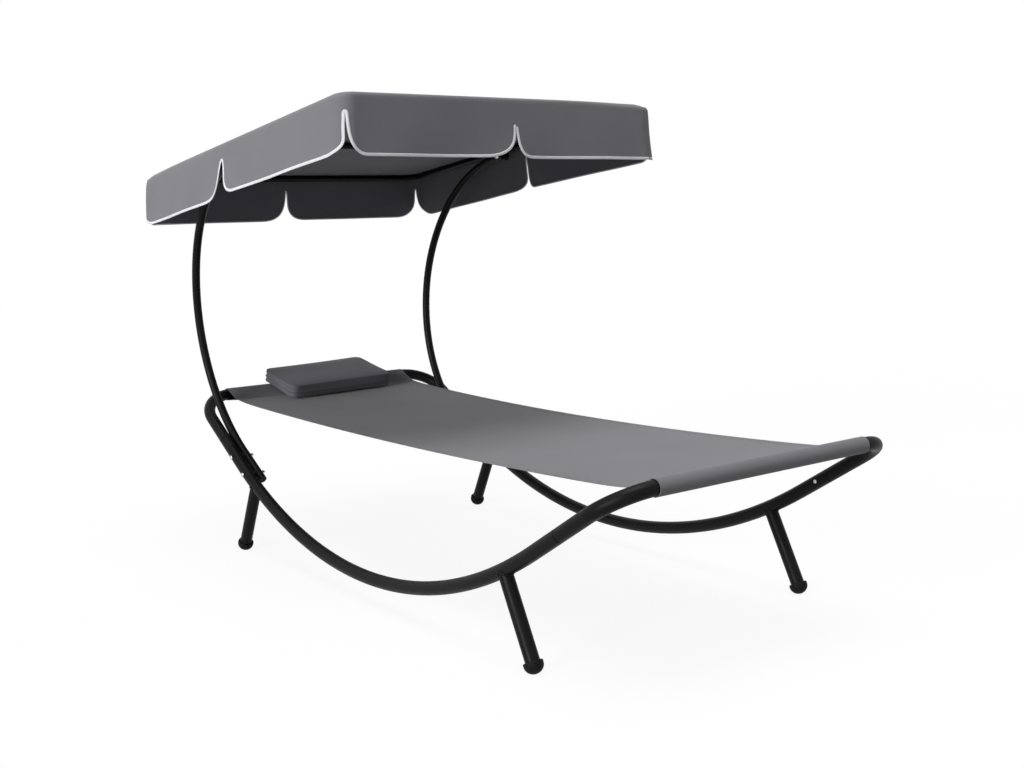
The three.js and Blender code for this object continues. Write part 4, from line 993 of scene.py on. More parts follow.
# Wing nut: a tapered boss and two ears with rounded rims
def wing_nut_mesh(name, seat, way):
    hole = PIVOT_BOLT_RADIUS + FIT_GAP
    taper = 0.8 * WING_BOSS_RADIUS
    top = WING_BOSS_HEIGHT
    boss = [(hole, 0), (WING_BOSS_RADIUS - EDGE_EASE, 0), (WING_BOSS_RADIUS, EDGE_EASE),
            (taper + EDGE_EASE, top - EDGE_EASE), (taper, top), (hole, top)]
    parts = [turned(name + "_boss", boss, seat, way, wrap=True)]
    ear_shares = ((0.34, 0.15, 0), (0.55, 0.30, 0), (0.75, 0.45, 0), (0.91, 0.80, 0.05), (0.97, 1, 0.3),
                  (0.95, 1, 0.7), (0.88, 1, 0.93), (0.80, 1, 0.95), (0.72, 1, 0.78), (0.65, 1, 0.6),
                  (0.50, 0.95, 0.2), (0.34, 0.85, 0))
    for flip in (-1, 1):
        outline = [seat + flip * Y_AXIS * WING_SPAN * out + way * (top * up + WING_RISE * tip)
                   for out, up, tip in ear_shares]
        across = flip * np.cross(Y_AXIS, way)
        parts.append(plate_mesh(name + "_ear", outline, across, WING_THICKNESS, 2 * EDGE_EASE))
    return joined(name, parts)


# Edge of the cover, by its length from the start of the foot side, anticlockwise from above
SIDE_X = COVER_HALF_WIDTH - COVER_CORNER_RADIUS
SIDE_Y = COVER_HALF_LENGTH - COVER_CORNER_RADIUS
CORNER_LENGTH = COVER_CORNER_RADIUS * math.pi / 2
EDGE_PIECES = (
    (2 * SIDE_X, (-SIDE_X, -COVER_HALF_LENGTH), (1, 0)), (CORNER_LENGTH, (SIDE_X, -SIDE_Y), -math.pi / 2),
    (2 * SIDE_Y, (COVER_HALF_WIDTH, -SIDE_Y), (0, 1)), (CORNER_LENGTH, (SIDE_X, SIDE_Y), 0),
    (2 * SIDE_X, (SIDE_X, COVER_HALF_LENGTH), (-1, 0)), (CORNER_LENGTH, (-SIDE_X, SIDE_Y), math.pi / 2),
    (2 * SIDE_Y, (-COVER_HALF_WIDTH, SIDE_Y), (0, -1)), (CORNER_LENGTH, (-SIDE_X, -SIDE_Y), math.pi),
)
EDGE_LENGTH = sum(length for length, _, _ in EDGE_PIECES)


def edge_start(index):
    return sum(length for length, _, _ in EDGE_PIECES[:index])


# Point and outward direction on the cover's edge
def edge_at(s):
    s %= EDGE_LENGTH
    for length, place, way in EDGE_PIECES:
        if s <= length:
            break
        s -= length
    if isinstance(way, tuple):
        return np.array(place) + s * np.array(way), np.array((way[1], -way[0]), float)
    angle = way + s / COVER_CORNER_RADIUS
    normal = np.array((math.cos(angle), math.sin(angle)))
    return np.array(place) + COVER_CORNER_RADIUS * normal, normal


# Slits: place on the edge, depth of the top, then the width and height of the corner of the flap that ends
# there and of the one that starts, each with its opening and the bulge of the cloth beside it
HALF_CORNER = CORNER_LENGTH / 2
SLITS = (
    (edge_start(0) + SIDE_X + 0.013, 0.075, (0.105, 0.068, 0.000, 0.000), (0.055, 0.070, 0.002, 0.000)),
    (edge_start(1) + 0.8 * CORNER_LENGTH, 0.050,
     (0.012, 0.014, 0.001, 0.000), (0.045, 0.040, 0.002, 0.002)),
    (edge_start(2) + SIDE_Y - 0.028, 0.045, (0.028, 0.040, 0.001, 0.000), (0.085, 0.040, 0.002, 0.000)),
    (edge_start(3) + HALF_CORNER, 0.044, (0.085, 0.085, 0.003, 0.000), (0.085, 0.070, 0.003, 0.000)),
    (edge_start(4) + SIDE_X + 0.018, 0.050, (0.070, 0.062, 0.002, 0.000), (0.090, 0.092, 0.002, 0.000)),
    (edge_start(5) + HALF_CORNER, 0.050, (0.020, 0.022, 0.002, 0.009), (0.066, 0.070, 0.000, 0.010)),
    (edge_start(6) + SIDE_Y - 0.045, 0.049, (0.120, 0.066, 0.026, 0.000), (0.085, 0.055, 0.018, 0.000)),
    (edge_start(7) + HALF_CORNER + 0.005, 0.049,
     (0.058, 0.036, 0.000, 0.002), (0.055, 0.085, 0.002, 0.000)),
)

# Drop of each flap's hem where it starts and where it ends, in the same order: each hangs after its slit
FLAP_DROPS = (
    (0.157, 0.158), (0.157, 0.146), (0.147, 0.148), (0.147, 0.147),
    (0.149, 0.150), (0.156, 0.152), (0.145, 0.146), (0.153, 0.155),
)
CORNER_COLUMNS = 12
COLUMN_STEP = 0.018
ROLL_ROWS = 6
UPPER_ROWS = 7
LOWER_ROWS = 20
RING_SHARES = (
    0.99, 0.975, 0.96, 0.93, 0.89, 0.84, 0.78, 0.71, 0.64,
    0.57, 0.5, 0.43, 0.36, 0.29, 0.22, 0.16, 0.1, 0.05,
)


# Columns of one flap: place, rise of the hem there, distance to each slit, share of the way between them
def flap_columns(index):
    before, after = SLITS[index], SLITS[(index + 1) % len(SLITS)]
    start, end = before[0], after[0]
    if end < start:
        end += EDGE_LENGTH
    places = []
    width, height = before[3][:2]
    for i in range(CORNER_COLUMNS + 1):
        t = 1 - i / CORNER_COLUMNS
        places.append((start + width * (1 - t) ** 2, height * t**2))
    far_width, far_height = after[2][:2]
    plain = end - far_width - start - width
    steps = max(1, round(plain / COLUMN_STEP))
    for i in range(1, steps):
        places.append((start + width + plain * i / steps, 0.0))
    for i in range(CORNER_COLUMNS + 1):
        t = i / CORNER_COLUMNS
        places.append((end - far_width * (1 - t) ** 2, far_height * t**2))
    return [(s, rise, s - start, end - s, (s - start) / (end - start)) for s, rise in places]


# How far the cloth has swung out at a place on a flap, and how far it has drawn away from the slits
def flap_shape(index, column, depth):
    before, after = SLITS[index], SLITS[(index + 1) % len(SLITS)]
    s, _, from_start, from_end, share = column
    slide, curl = 0.0, 0.0
    sides = ((before, before[3], from_start, 1), (after, after[2], from_end, -1))
    for slit, corner, distance, way in sides:
        below = max(0.0, (depth - slit[1]) / (VALANCE_DROP - slit[1]))
        shared = (slit[2][3] + slit[3][3]) / 2
        bulge = shared + (corner[3] - shared) * min(1.0, 2 * below)
        full = math.sin(math.pi * min(1.0, depth / VALANCE_DROP) ** 0.55)
        curl += bulge * full * math.exp(-(distance / BULGE_SPREAD) ** 2)
        if below > 0:
            half = SLIT_TOP_HALF_WIDTH + (SLIT_HALF_WIDTH - SLIT_TOP_HALF_WIDTH) * min(1, 3 * below)
            spread = max(SLIT_SPREAD, 2.5 * corner[2])
            slide += way * (half + corner[2] * math.sqrt(below)) * math.exp(-distance / spread)
            curl += EDGE_CURL * below**1.4 * math.exp(-distance / EDGE_CURL_SPREAD)
    hang = depth / VALANCE_DROP
    wave = FLAP_WAVE * hang**1.5 * math.sin(2 * math.pi * FLAP_WAVES * s / EDGE_LENGTH)
    belly = 0.5 * FLAP_WAVE * math.sin(math.pi * min(hang, 1.0)) * math.sin(math.pi * share) ** 2
    return slide, curl + wave + belly


def valance_point(index, column, depth):
    slide, swing = flap_shape(index, column, depth)
    place, normal = edge_at(column[0] + slide)
    hang = depth / VALANCE_DROP
    splay = hang * (VALANCE_SIDE_SPLAY * abs(normal[0]) + VALANCE_END_SPLAY * abs(normal[1]))
    x, along = place + normal * (splay + swing)
    height = COVER_TOP - depth - corner_droop(*place) * max(0.0, 1 - hang)
    return (x, along + PLUMB * (depth - COVER_EDGE_ROUND), height), place + normal * depth


# Beyond the hoops' corners the cloth is slack and falls a little, more at some corners than at others
def corner_droop(x, along):
    past_x = max(0.0, abs(x) - HOOP_HALF_WIDTH + HOOP_CORNER_RADIUS)
    past_along = max(0.0, abs(along) - HOOP_HALF_LENGTH + HOOP_CORNER_RADIUS)
    beyond = min(1.0, max(0.0, math.hypot(past_x, past_along) - HOOP_CORNER_RADIUS) / DROOP_START)
    droop = CORNER_DROOPS[(x > 0) + 2 * (along > 0)]
    away = math.hypot(abs(x) - COVER_HALF_WIDTH, abs(along) - COVER_HALF_LENGTH)
    return droop * beyond**2 * math.exp(-(away / DROOP_SPREAD) ** 2)


# Sag of the top in two bays, one on each side of the crossbar
def cover_sag(x, along):
    across_share = x / (HOOP_HALF_WIDTH - HOOP_RADIUS)
    bay_share = 2 * abs(along) / (HOOP_HALF_LENGTH - HOOP_RADIUS) - 1
    return COVER_SAG * max(0.0, 1 - across_share**2) * max(0.0, 1 - bay_share**2)


class CoverGrid:
    """Vertices of the cover's middle surface, shared above each slit's top and split below it."""

    def __init__(self):
        self.points, self.flat, self.faces = [], [], []
        self.flaps = []

    def vertex(self, point, flat):
        self.points.append(point)
        self.flat.append(flat)
        return len(self.points) - 1

    def column(self, index, column, shared=None):
        slit_tops = SLITS[index][1], SLITS[(index + 1) % len(SLITS)][1]
        top = slit_tops[0] + (slit_tops[1] - slit_tops[0]) * column[4]
        rows = [] if shared is None else list(shared)
        if shared is None:
            rows = self.upper_rows(index, column, top)
        first, last = FLAP_DROPS[index]
        bottom = first + (last - first) * column[4] - column[1]
        for j in range(1, LOWER_ROWS + 1):
            depth = top + (bottom - top) * j / LOWER_ROWS
            rows.append(self.vertex(*valance_point(index, column, depth)))
        return rows

    # From the middle of the top out to the edge, round the edge roll and down to the slits' tops
    def upper_rows(self, index, column, top):
        place, normal = edge_at(column[0])
        rim = place - normal * COVER_EDGE_ROUND
        rows = []
        for share in reversed(RING_SHARES):
            x, along = rim * share
            height = COVER_TOP - cover_sag(x, along) - corner_droop(x, along)
            rows.append(self.vertex((x, along, height), rim * share))
        for i in range(ROLL_ROWS):
            turn = math.pi / 2 * i / ROLL_ROWS
            x, along = place - normal * COVER_EDGE_ROUND * (1 - math.sin(turn))
            height = COVER_TOP - COVER_EDGE_ROUND * (1 - math.cos(turn)) - corner_droop(x, along)
            rows.append(self.vertex((x, along, height), rim + normal * COVER_EDGE_ROUND * turn))
        for i in range(UPPER_ROWS + 1):
            depth = COVER_EDGE_ROUND + (top - COVER_EDGE_ROUND) * i / UPPER_ROWS
            rows.append(self.vertex(*valance_point(index, column, depth)))
        return rows

    def build(self):
        shared_count = len(RING_SHARES) + ROLL_ROWS + UPPER_ROWS + 1
        first_shared = None
        for index in range(len(SLITS)):
            columns = flap_columns(index)
            grid = []
            for i, column in enumerate(columns):
                shared = None
                if i == 0 and self.flaps:
                    shared = self.flaps[-1][-1][:shared_count]
                if i == len(columns) - 1 and index == len(SLITS) - 1:
                    shared = first_shared
                grid.append(self.column(index, column, shared))
            if first_shared is None:
                first_shared = grid[0][:shared_count]
            self.flaps.append(grid)
            for left, right in zip(grid, grid[1:]):
                for a, b, c, d in zip(left, right, right[1:], left[1:]):
                    self.faces.append((a, d, c, b))
        hub = self.vertex((0.0, 0.0, COVER_TOP), np.zeros(2))
        inner = [col[0] for grid in self.flaps for col in grid[:-1]]
        for a, b in zip(inner, inner[1:] + inner[:1]):
            self.faces.append((hub, a, b))
        self.slit_row = shared_count - 1
        return self


# A cloth sheet from its middle surface, with its flat pattern as the UV map
def cloth_mesh(name, points, flat, faces, thickness, materials):
    mesh = bpy.data.meshes.new(name)
    mesh.from_pydata([tuple(p) for p in points], [], faces)
    add_flat_map(mesh, "flat_pattern", flat)
    mesh.polygons.foreach_set("use_smooth", [True] * len(mesh.polygons))
    for material in materials:
        mesh.materials.append(material)
    made = new_object(name, mesh)
    wall = made.modifiers.new("wall", "SOLIDIFY")
    wall.thickness = thickness
    wall.offset = 0.0
    wall.material_offset = len(materials) - 1
    finished = baked(made, name)
    finished.set_sharp_from_angle(angle=math.radians(50))
    return finished


# Round off a closed line by cutting its corners
def softened(line, normals, rounds=2):
    for _ in range(rounds):
        after, after_normals = np.roll(line, -1, 0), np.roll(normals, -1, 0)
        line = np.stack([0.75 * line + 0.25 * after, 0.25 * line + 0.75 * after], 1).reshape(-1, 3)
        near, far = 0.75 * normals + 0.25 * after_normals, 0.25 * normals + 0.75 * after_normals
        normals = np.stack([near, far], 1).reshape(-1, 3)
    return line, normals / np.linalg.norm(normals, axis=1)[:, None]


# The line that the edge tape follows: round every flap and up and down every slit
def tape_line(grid, points, normals):
    order = []
    for flap in grid.flaps:
        order += flap[0][grid.slit_row:]
        order += [column[-1] for column in flap[1:-1]]
        order += reversed(flap[-1][grid.slit_row + 1:])
    return softened(points[order], normals[order])


def vertex_normals(points, faces):
    mesh = mesh_of("normals", points, faces)
    normals = np.array([tuple(v.normal) for v in mesh.vertices])
    bpy.data.meshes.remove(mesh)
    return normals


# Tape folded over the cloth's edge: a flat rounded section, wider on the outer face
def tape_mesh(name, line, normals):
    ways = tangents_of(line, closed=True)
    inward = np.cross(normals, ways)
    half = TAPE_HALF_THICKNESS
    lip = 0.9 * half
    outer, inner = TAPE_WIDTH, TAPE_INNER_WIDTH
    section = ((-lip, 0), (-0.8 * lip, 0.7 * half), (0, half), (0.5 * outer, half), (outer - half, half),
               (outer, 0.6 * half), (outer, 0), (inner, 0), (inner, -0.6 * half), (inner - half, -half),
               (0, -half), (-0.8 * lip, -0.7 * half))
    rings = np.stack([line + a * inward + b * normals for a, b in section], 1)
    mesh = ring_mesh(name, rings, wrap=True, sharp=70)
    lengths = np.concatenate([[0], np.cumsum(np.linalg.norm(np.diff(line, axis=0), axis=1))])
    ring_of = np.repeat(np.arange(len(line)), len(section))
    spot_of = np.tile(np.arange(len(section)), len(line))
    add_flat_map(mesh, "along_tape", np.column_stack([lengths[ring_of], spot_of * TAPE_WIDTH / 5]))
    mesh.materials.append(TAPE)
    return mesh


def make_cover():
    grid = CoverGrid().build()
    local = np.array(grid.points)
    points = canopy_place(local[:, 0], local[:, 1], local[:, 2] - COVER_CLOTH / 2)
    normals = vertex_normals(points, grid.faces)
    # The inner faces take the darker copy of the cloth, painted shade under the canopy
    cloths = (COVER_OUTSIDE, COVER_INSIDE_SHADED)
    mesh = cloth_mesh("cover_canvas", points, grid.flat, grid.faces, COVER_CLOTH, cloths)
    cover = add(mesh, "canopy", "cover_cloth", "canopy_cover")
    line, line_normals = tape_line(grid, points, normals)
    tape = add(tape_mesh("cover_edge_tape", line, line_normals), "canopy", "cover_cloth")
    inward = np.cross(line_normals, tangents_of(line, closed=True))
    seam = line + TAPE_SEAM_SHARE * TAPE_WIDTH * inward + TAPE_HALF_THICKNESS * line_normals
    sewn = stitches("cover_tape_stitches", [seam], *TAPE_STITCH, WHITE_THREAD)
    sewn_piece = add(sewn, "canopy", "cover_cloth")


# Sling height: a shallow hollow that steepens towards each seam
SEAM_REACH = CROSSBAR_REACH - SLING_SEAM_DISTANCE
CROSSBAR_HEIGHT = rail_point(0, CROSSBAR_REACH)[2]
SEAM_HEIGHT = CROSSBAR_HEIGHT - SLING_SEAM_FALL
SLING_MID_HEIGHT = CROSSBAR_HEIGHT - SLING_DIP


def sling_height(share_across, reach):
    share = min(abs(reach) / SEAM_REACH, 1)
    settled = math.exp((abs(reach) - SEAM_REACH) / SLING_SETTLE)
    lift = (SEAM_HEIGHT - SLING_MID_HEIGHT - SLING_RISE) * settled
    hollow = SLING_CENTRE_SAG * (1 - share**4) * (1 - share_across**2)
    return SLING_MID_HEIGHT + SLING_RISE * share**2 + lift - hollow


def sling_half_width(reach):
    share = min(abs(reach) / SEAM_REACH, 1)
    return SLING_HALF_WIDTH + SLING_EDGE_SPREAD * share**2


# Sleeve in side view, from the seam below the bar, round the bar and back to the seam above it
def sleeve_line(end):
    radius = TUBE_RADIUS + SLEEVE_GAP + SLING_CLOTH / 2
    distance = math.hypot(SLING_SEAM_DISTANCE, SLING_SEAM_FALL)
    tip_angle = math.atan2(-SLING_SEAM_FALL, SLING_SEAM_DISTANCE)
    opening = math.acos(radius / distance)
    turn = np.linspace(tip_angle - opening, tip_angle + opening - 2 * math.pi, 30)
    bar = np.column_stack([radius * np.cos(turn), radius * np.sin(turn)])
    tip = distance * np.array((math.cos(tip_angle), math.sin(tip_angle)))
    below = tip - (0, SLING_CLOTH)
    lap = below + (SLING_LAP, SLING_LAP / 8)
    steps = np.linspace(0, 1, 9)[1:, None]
    under = below * (1 - steps) + bar[0] * steps
    over = bar[-1] * (1 - steps) + tip * steps
    line = np.vstack([lap, below, under, bar[1:], over])
    return np.column_stack([MID_Y + end * (CROSSBAR_REACH - line[:, 0]), CROSSBAR_HEIGHT + line[:, 1]])


# Rows of the sling from one lower seam to the other: place, height, whether it is free sheet
def sling_rows():
    shares = 1 - np.linspace(0, 1, 41)[1:-1] ** 1.5
    inner = np.concatenate([shares, [0.0], -shares[::-1]]) * -SEAM_REACH
    rows = [(y, z, False) for y, z in sleeve_line(-1)]
    rows += [(MID_Y + reach, 0.0, True) for reach in inner]
    rows += [(y, z, False) for y, z in reversed(sleeve_line(1))]
    return rows


# A hem's raised step, from nothing inside it to the full step at the edge
def hem_step(distance, width):
    return SLING_HEM_STEP * min(1.0, max(0.0, 1 - (distance - width) / (0.15 * width)))


def sling_grid():
    hem_shares = np.linspace(SLING_HEM_START, 1, 9)
    middle = np.linspace(-SLING_HEM_START, SLING_HEM_START, 47)[1:-1]
    across = np.concatenate([-hem_shares[::-1], middle, hem_shares])
    rows = sling_rows()
    points, flat = [], []
    travel = 0.0
    last = None
    for y, z, free in rows:
        reach = y - MID_Y
        half = sling_half_width(reach) if free else SLING_SLEEVE_HALF_LENGTH
        middle_z = sling_height(0, reach) if free else z
        if last is not None:
            travel += math.hypot(y - last[0], middle_z - last[1])
        last = (y, middle_z)
        near_seam = math.exp(-max(0.0, SEAM_REACH - abs(reach)) / SLING_PUCKER_REACH) if free else 0.0
        for c in across:
            x = c * half
            height = sling_height(c, reach) if free else z
            pucker = SLING_PUCKER * near_seam * math.sin(2 * math.pi * x / SLING_PUCKER_LENGTH)
            raised = hem_step(half - abs(x), SLING_HEM_WIDTH) if free else 0.0
            points.append((x + SLING_SHIFT, y, height + pucker + raised))
            flat.append((x, travel))
    count = len(across)
    faces = []
    for r in range(len(rows) - 1):
        for c in range(count - 1):
            a = r * count + c
            faces.append((a, a + 1, a + count + 1, a + count))
    return np.array(points), flat, faces, count, travel, rows


def make_sling():
    points, flat, faces, count, length, rows = sling_grid()
    mesh = cloth_mesh("sling_canvas", points, flat, faces, SLING_CLOTH, (SLING_FACE,))
    sling = add(mesh, "lounger_frame", "sling_cloth", "sling")
    grid = points.reshape(len(rows), count, 3)
    free = [i for i, row in enumerate(rows) if row[2]]
    lift = (SLING_CLOTH / 2) * Z_AXIS
    lines = []
    for side in (-1, 1):
        edge = grid[free, 0 if side < 0 else -1]
        lines.append(edge - side * SLING_HEM_SEAM_SHARE * SLING_HEM_WIDTH * X_AXIS + lift)
    seam_rows = (free[0] - 1, free[-1] + 1)
    for row, inwards in zip(seam_rows, (1, -1)):
        for step in (1, 4):
            lines.append(grid[row + inwards * step][1:-1] + lift)
    sewn = stitches("sling_stitches", lines, *SLING_STITCH, GREY_THREAD)
    sewn_piece = add(sewn, "lounger_frame", "sling_cloth")


# Filling of the pillow
PILLOW_START_INSET = 0.0015
PILLOW_VOXEL = 0.004
PILLOW_PRESSURE = 3.5
PILLOW_FRAMES = 18
PILLOW_CAP = 0.008
PILLOW_CROWN = 0.003
PILLOW_PULL = 0.002
PILLOW_FRONT_FULL = 0.006
PILLOW_SKEW = 0.015
PILLOW_FAR_THIN = 0.005
PILLOW_FOLD = 0.0034
PILLOW_FOLD_PITCH = 0.0135
PILLOW_FOLD_LEAN = 0.35
PILLOW_FOLD_SWAY = 0.0008
PILLOW_SLING_GAP = 0.0006
PILLOW_SLEEVE_GAP = 0.0022
PILLOW_SLEEVE_TOP = CROSSBAR_HEIGHT + TUBE_RADIUS + SLEEVE_GAP + SLING_CLOTH


# Outline of the pillow's panel, anticlockwise
def pillow_outline(inset, steps=14):
    half_x, half_y = PILLOW_HALF_LENGTH - inset, PILLOW_HALF_WIDTH - inset
    radius = PILLOW_CORNER_RADIUS - inset
    points = []
    for corner, (sx, sy) in enumerate(((1, -1), (1, 1), (-1, 1), (-1, -1))):
        centre = np.array((sx * (half_x - radius), sy * (half_y - radius)))
        for i in range(steps + 1):
            angle = (corner - 1) * math.pi / 2 + i * math.pi / 2 / steps
            points.append(centre + radius * np.array((math.cos(angle), math.sin(angle))))
    return np.array(points)


# Evenly spaced points along a closed flat line
def even_points(line, step):
    closed = np.vstack([line, line[:1]])
    lengths = np.concatenate([[0], np.cumsum(np.linalg.norm(np.diff(closed, axis=0), axis=1))])
    places = np.linspace(0, lengths[-1], max(8, round(lengths[-1] / step)), endpoint=False)
    return np.column_stack([np.interp(places, lengths, closed[:, k]) for k in range(closed.shape[1])])


# The boxed blank that is then filled
def pillow_blank():
    half = PILLOW_THICKNESS / 2 - PILLOW_START_INSET
    rim = even_points(pillow_outline(PILLOW_START_INSET), PILLOW_VOXEL)
    rings = [np.column_stack([rim, np.full(len(rim), z)]) for z in np.linspace(-half, half, 8)]
    return ring_mesh("pillow_blank", rings)


def filled_pillow():
    blank = new_object("pillow_blank", pillow_blank())
    voxels = blank.modifiers.new("voxels", "REMESH")
    voxels.mode = "VOXEL"
    voxels.voxel_size = PILLOW_VOXEL
    mesh = baked(blank, "pillow_fill")
    body = new_object("pillow_fill", mesh)
    start = np.array([tuple(v.co) for v in mesh.vertices])
    start = blown_up(body, start)
    bpy.data.objects.remove(body)
    return start, [tuple(p.vertices) for p in mesh.polygons]


# Fills the blank with a cloth simulation; its seams are held, and no point moves further than the cap
def blown_up(body, start):
    seam = body.vertex_groups.new(name="seams")
    half = PILLOW_THICKNESS / 2 - PILLOW_START_INSET
    for index, (x, y, z) in enumerate(start):
        rim = max(abs(x) - PILLOW_HALF_LENGTH, abs(y) - PILLOW_HALF_WIDTH) + PILLOW_START_INSET
        if abs(abs(z) - half) < PILLOW_VOXEL / 2 and rim > -PILLOW_VOXEL:
            seam.add([index], 1.0, "REPLACE")
    settings = body.modifiers.new("filling", "CLOTH").settings
    settings.use_pressure = True
    settings.uniform_pressure_force = PILLOW_PRESSURE
    settings.vertex_group_mass = "seams"
    settings.quality = 6
    settings.effector_weights.gravity = 0.0
    scene = bpy.context.scene
    for number in range(1, PILLOW_FRAMES + 1):
        scene.frame_set(number)
    evaluated = body.evaluated_get(bpy.context.evaluated_depsgraph_get())
    blown = np.array([tuple(v.co) for v in evaluated.data.vertices])
    scene.frame_set(1)
    move = blown - start
    length = np.linalg.norm(move, axis=1)
    scale = np.minimum(1.0, PILLOW_CAP / np.maximum(length, 1e-9))
    return start + move * scale[:, None]


# Crown, fuller front, drawn-in sides and one front corner pulled out of square, on top of the filled shape
def pillow_crown(points, crown, pull):
    made = points.copy()
    half = PILLOW_THICKNESS / 2
    x_share = np.abs(made[:, 0]) / PILLOW_HALF_LENGTH
    y_share = np.abs(made[:, 1]) / PILLOW_HALF_WIDTH
    dome = np.clip(1 - x_share**4, 0, 1) * np.clip(1 - y_share**4, 0, 1)
    made[:, 2] += crown * dome * np.clip(made[:, 2] / half, -0.3, 1)
    to_front = np.clip(-made[:, 1] / PILLOW_HALF_WIDTH, 0, 1)
    made[:, 2] += PILLOW_FRONT_FULL * to_front * np.clip(made[:, 2] / half, 0, 1)
    to_right = (1 + made[:, 0] / PILLOW_HALF_LENGTH) / 2
    to_back = np.clip(made[:, 1] / PILLOW_HALF_WIDTH, 0, 1)
    made[:, 2] -= PILLOW_FAR_THIN * to_back * to_right * np.clip(made[:, 2] / half, 0, 1)
    made[:, 1] -= PILLOW_SKEW * to_front * to_right
    made[:, 1] -= np.sign(made[:, 1]) * pull * y_share**3 * np.clip(1 - x_share**2, 0, 1)
    made[:, 0] -= np.sign(made[:, 0]) * pull * x_share**3 * np.clip(1 - y_share**2, 0, 1)
    return made


# Three soft folds along the band between the two pipings, deepest at the near short side
def pillow_folds(points):
    made = points.copy()
    half = PILLOW_THICKNESS / 2
    x_share = made[:, 0] / PILLOW_HALF_LENGTH
    y_share = made[:, 1] / PILLOW_HALF_WIDTH
    at_end = np.clip((np.abs(x_share) - 0.90) / 0.08, 0, 1)
    at_side = np.clip((np.abs(y_share) - 0.82) / 0.14, 0, 1) * (1 - at_end)
    fade = np.clip(1.15 - np.abs(made[:, 2] / half), 0, 1)
    depth = PILLOW_FOLD * (1 + PILLOW_FOLD_LEAN * np.sin(4 * y_share + 2 * x_share))
    waves = np.cos(2 * math.pi * (made[:, 2] + PILLOW_FOLD_SWAY * np.sin(9 * y_share)) / PILLOW_FOLD_PITCH)
    strength = np.where(x_share < 0, 1.0, 0.5)
    made[:, 0] += np.sign(x_share) * strength * depth * waves * fade * at_end
    made[:, 1] += np.sign(y_share) * 0.35 * depth * waves * fade * at_side
    return made


# Places pillow points: it lies on the sling at its front edge and on the rear sleeve
def pillow_place(points):
    half = PILLOW_THICKNESS / 2
    front = np.array((PILLOW_SHIFT, MID_Y + PILLOW_FRONT_REACH,
                      sling_height(PILLOW_HALF_LENGTH / SLING_HALF_WIDTH, PILLOW_FRONT_REACH)))
    rise = PILLOW_SLEEVE_TOP + PILLOW_SLEEVE_GAP - front[2]
    slope = math.atan2(rise, CROSSBAR_REACH - PILLOW_FRONT_REACH)
    along = np.array((0, math.cos(slope), math.sin(slope)))
    normal = np.array((0, -math.sin(slope), math.cos(slope)))
    half_depth = PILLOW_HALF_WIDTH * math.cos(PILLOW_TURN) + PILLOW_HALF_LENGTH * math.sin(PILLOW_TURN)
    centre = front + along * half_depth + normal * (half + PILLOW_SLING_GAP)
    length_way = math.cos(PILLOW_TURN) * X_AXIS + math.sin(PILLOW_TURN) * along
    width_way = math.cos(PILLOW_TURN) * along - math.sin(PILLOW_TURN) * X_AXIS
    return centre + points[:, :1] * length_way + points[:, 1:2] * width_way + points[:, 2:3] * normal


def make_pillow():
    points, faces = filled_pillow()
    placed = pillow_place(pillow_folds(pillow_crown(points, PILLOW_CROWN, PILLOW_PULL)))
    made = new_object("pillow_case_cage", mesh_of("pillow_case", placed, faces, 180))
    smooth = made.modifiers.new("smooth", "SUBSURF")
    smooth.levels = smooth.render_levels = 1
    pillow = add(baked(made, "pillow_case"), "pillow", "pillow_cloth", "pillow")
    tree = BVHTree.FromPolygons([tuple(p) for p in placed], faces)
    rim = even_points(pillow_outline(PILLOW_START_INSET), PILLOW_VOXEL)
    for level, way in (("top", 1), ("bottom", -1)):
        height = way * (PILLOW_THICKNESS / 2 - PILLOW_START_INSET)
        guide = pillow_place(pillow_crown(np.column_stack([rim, np.full(len(rim), height)]), 0, 0))
        line = np.array([tuple(tree.find_nearest(Vector(p))[0]) for p in guide])
        line = (np.roll(line, 1, 0) + line + np.roll(line, -1, 0)) / 3
        rings = round_rings(line, PILLOW_PIPING_RADIUS, PIPING_SIDES, closed=True)
        piping = ring_mesh(f"pillow_{level}_piping", rings, wrap=True)
        add(piping, "pillow", "pillow_cloth")


# Camera at the photograph's place: position, turn, tilt, roll and lens
CAMERA_PLACE = Vector((-2.08096, -2.83240 + MID_Y, 0.99680))
CAMERA_YAW = 0.6482
CAMERA_PITCH = -0.1318
CAMERA_ROLL = -0.0282
CAMERA_FOCAL_PIXELS = 1270.401
PICTURE_WIDTH = 1024
SENSOR_WIDTH = 36.0
VIEW_REACH = 60.0


def make_camera():
    yaw, pitch, roll = CAMERA_YAW, CAMERA_PITCH, CAMERA_ROLL
    ahead = Vector((math.sin(yaw) * math.cos(pitch), math.cos(yaw) * math.cos(pitch), math.sin(pitch)))
    right = Vector((math.cos(yaw), -math.sin(yaw), 0))
    up = right.cross(ahead)
    right, up = (math.cos(roll) * right + math.sin(roll) * up,
                 math.cos(roll) * up - math.sin(roll) * right)
    data = bpy.data.cameras.new("camera")
    data.sensor_width = SENSOR_WIDTH
    data.lens = SENSOR_WIDTH * CAMERA_FOCAL_PIXELS / PICTURE_WIDTH
    data.clip_end = VIEW_REACH
    camera = new_object("camera", data)
    turn = Matrix((right, up, -ahead)).transposed().to_4x4()
    camera.matrix_world = Matrix.Translation(CAMERA_PLACE) @ turn
    bpy.context.scene.camera = camera


FLOOR_HALF_SIZE = 14.0
FLOOR_GLOW = 1.22
FLOOR_GLOW_SHARE = 0.75

# Colour and strength of the world, as it lights the scene and as it is seen
WORLD_LEVELS = (((0.90, 0.92, 0.96, 1), 0.22), ((1, 1, 1, 1), 1.0))

# Broad lamps far off: the way that the light goes, its width as an angle, and its strength
LIGHTS = (
    ("key", (0.95, 0.18, -0.27), 24, 2.45),
    ("top", (0.05, 0.06, -1.00), 38, 2.25),
)


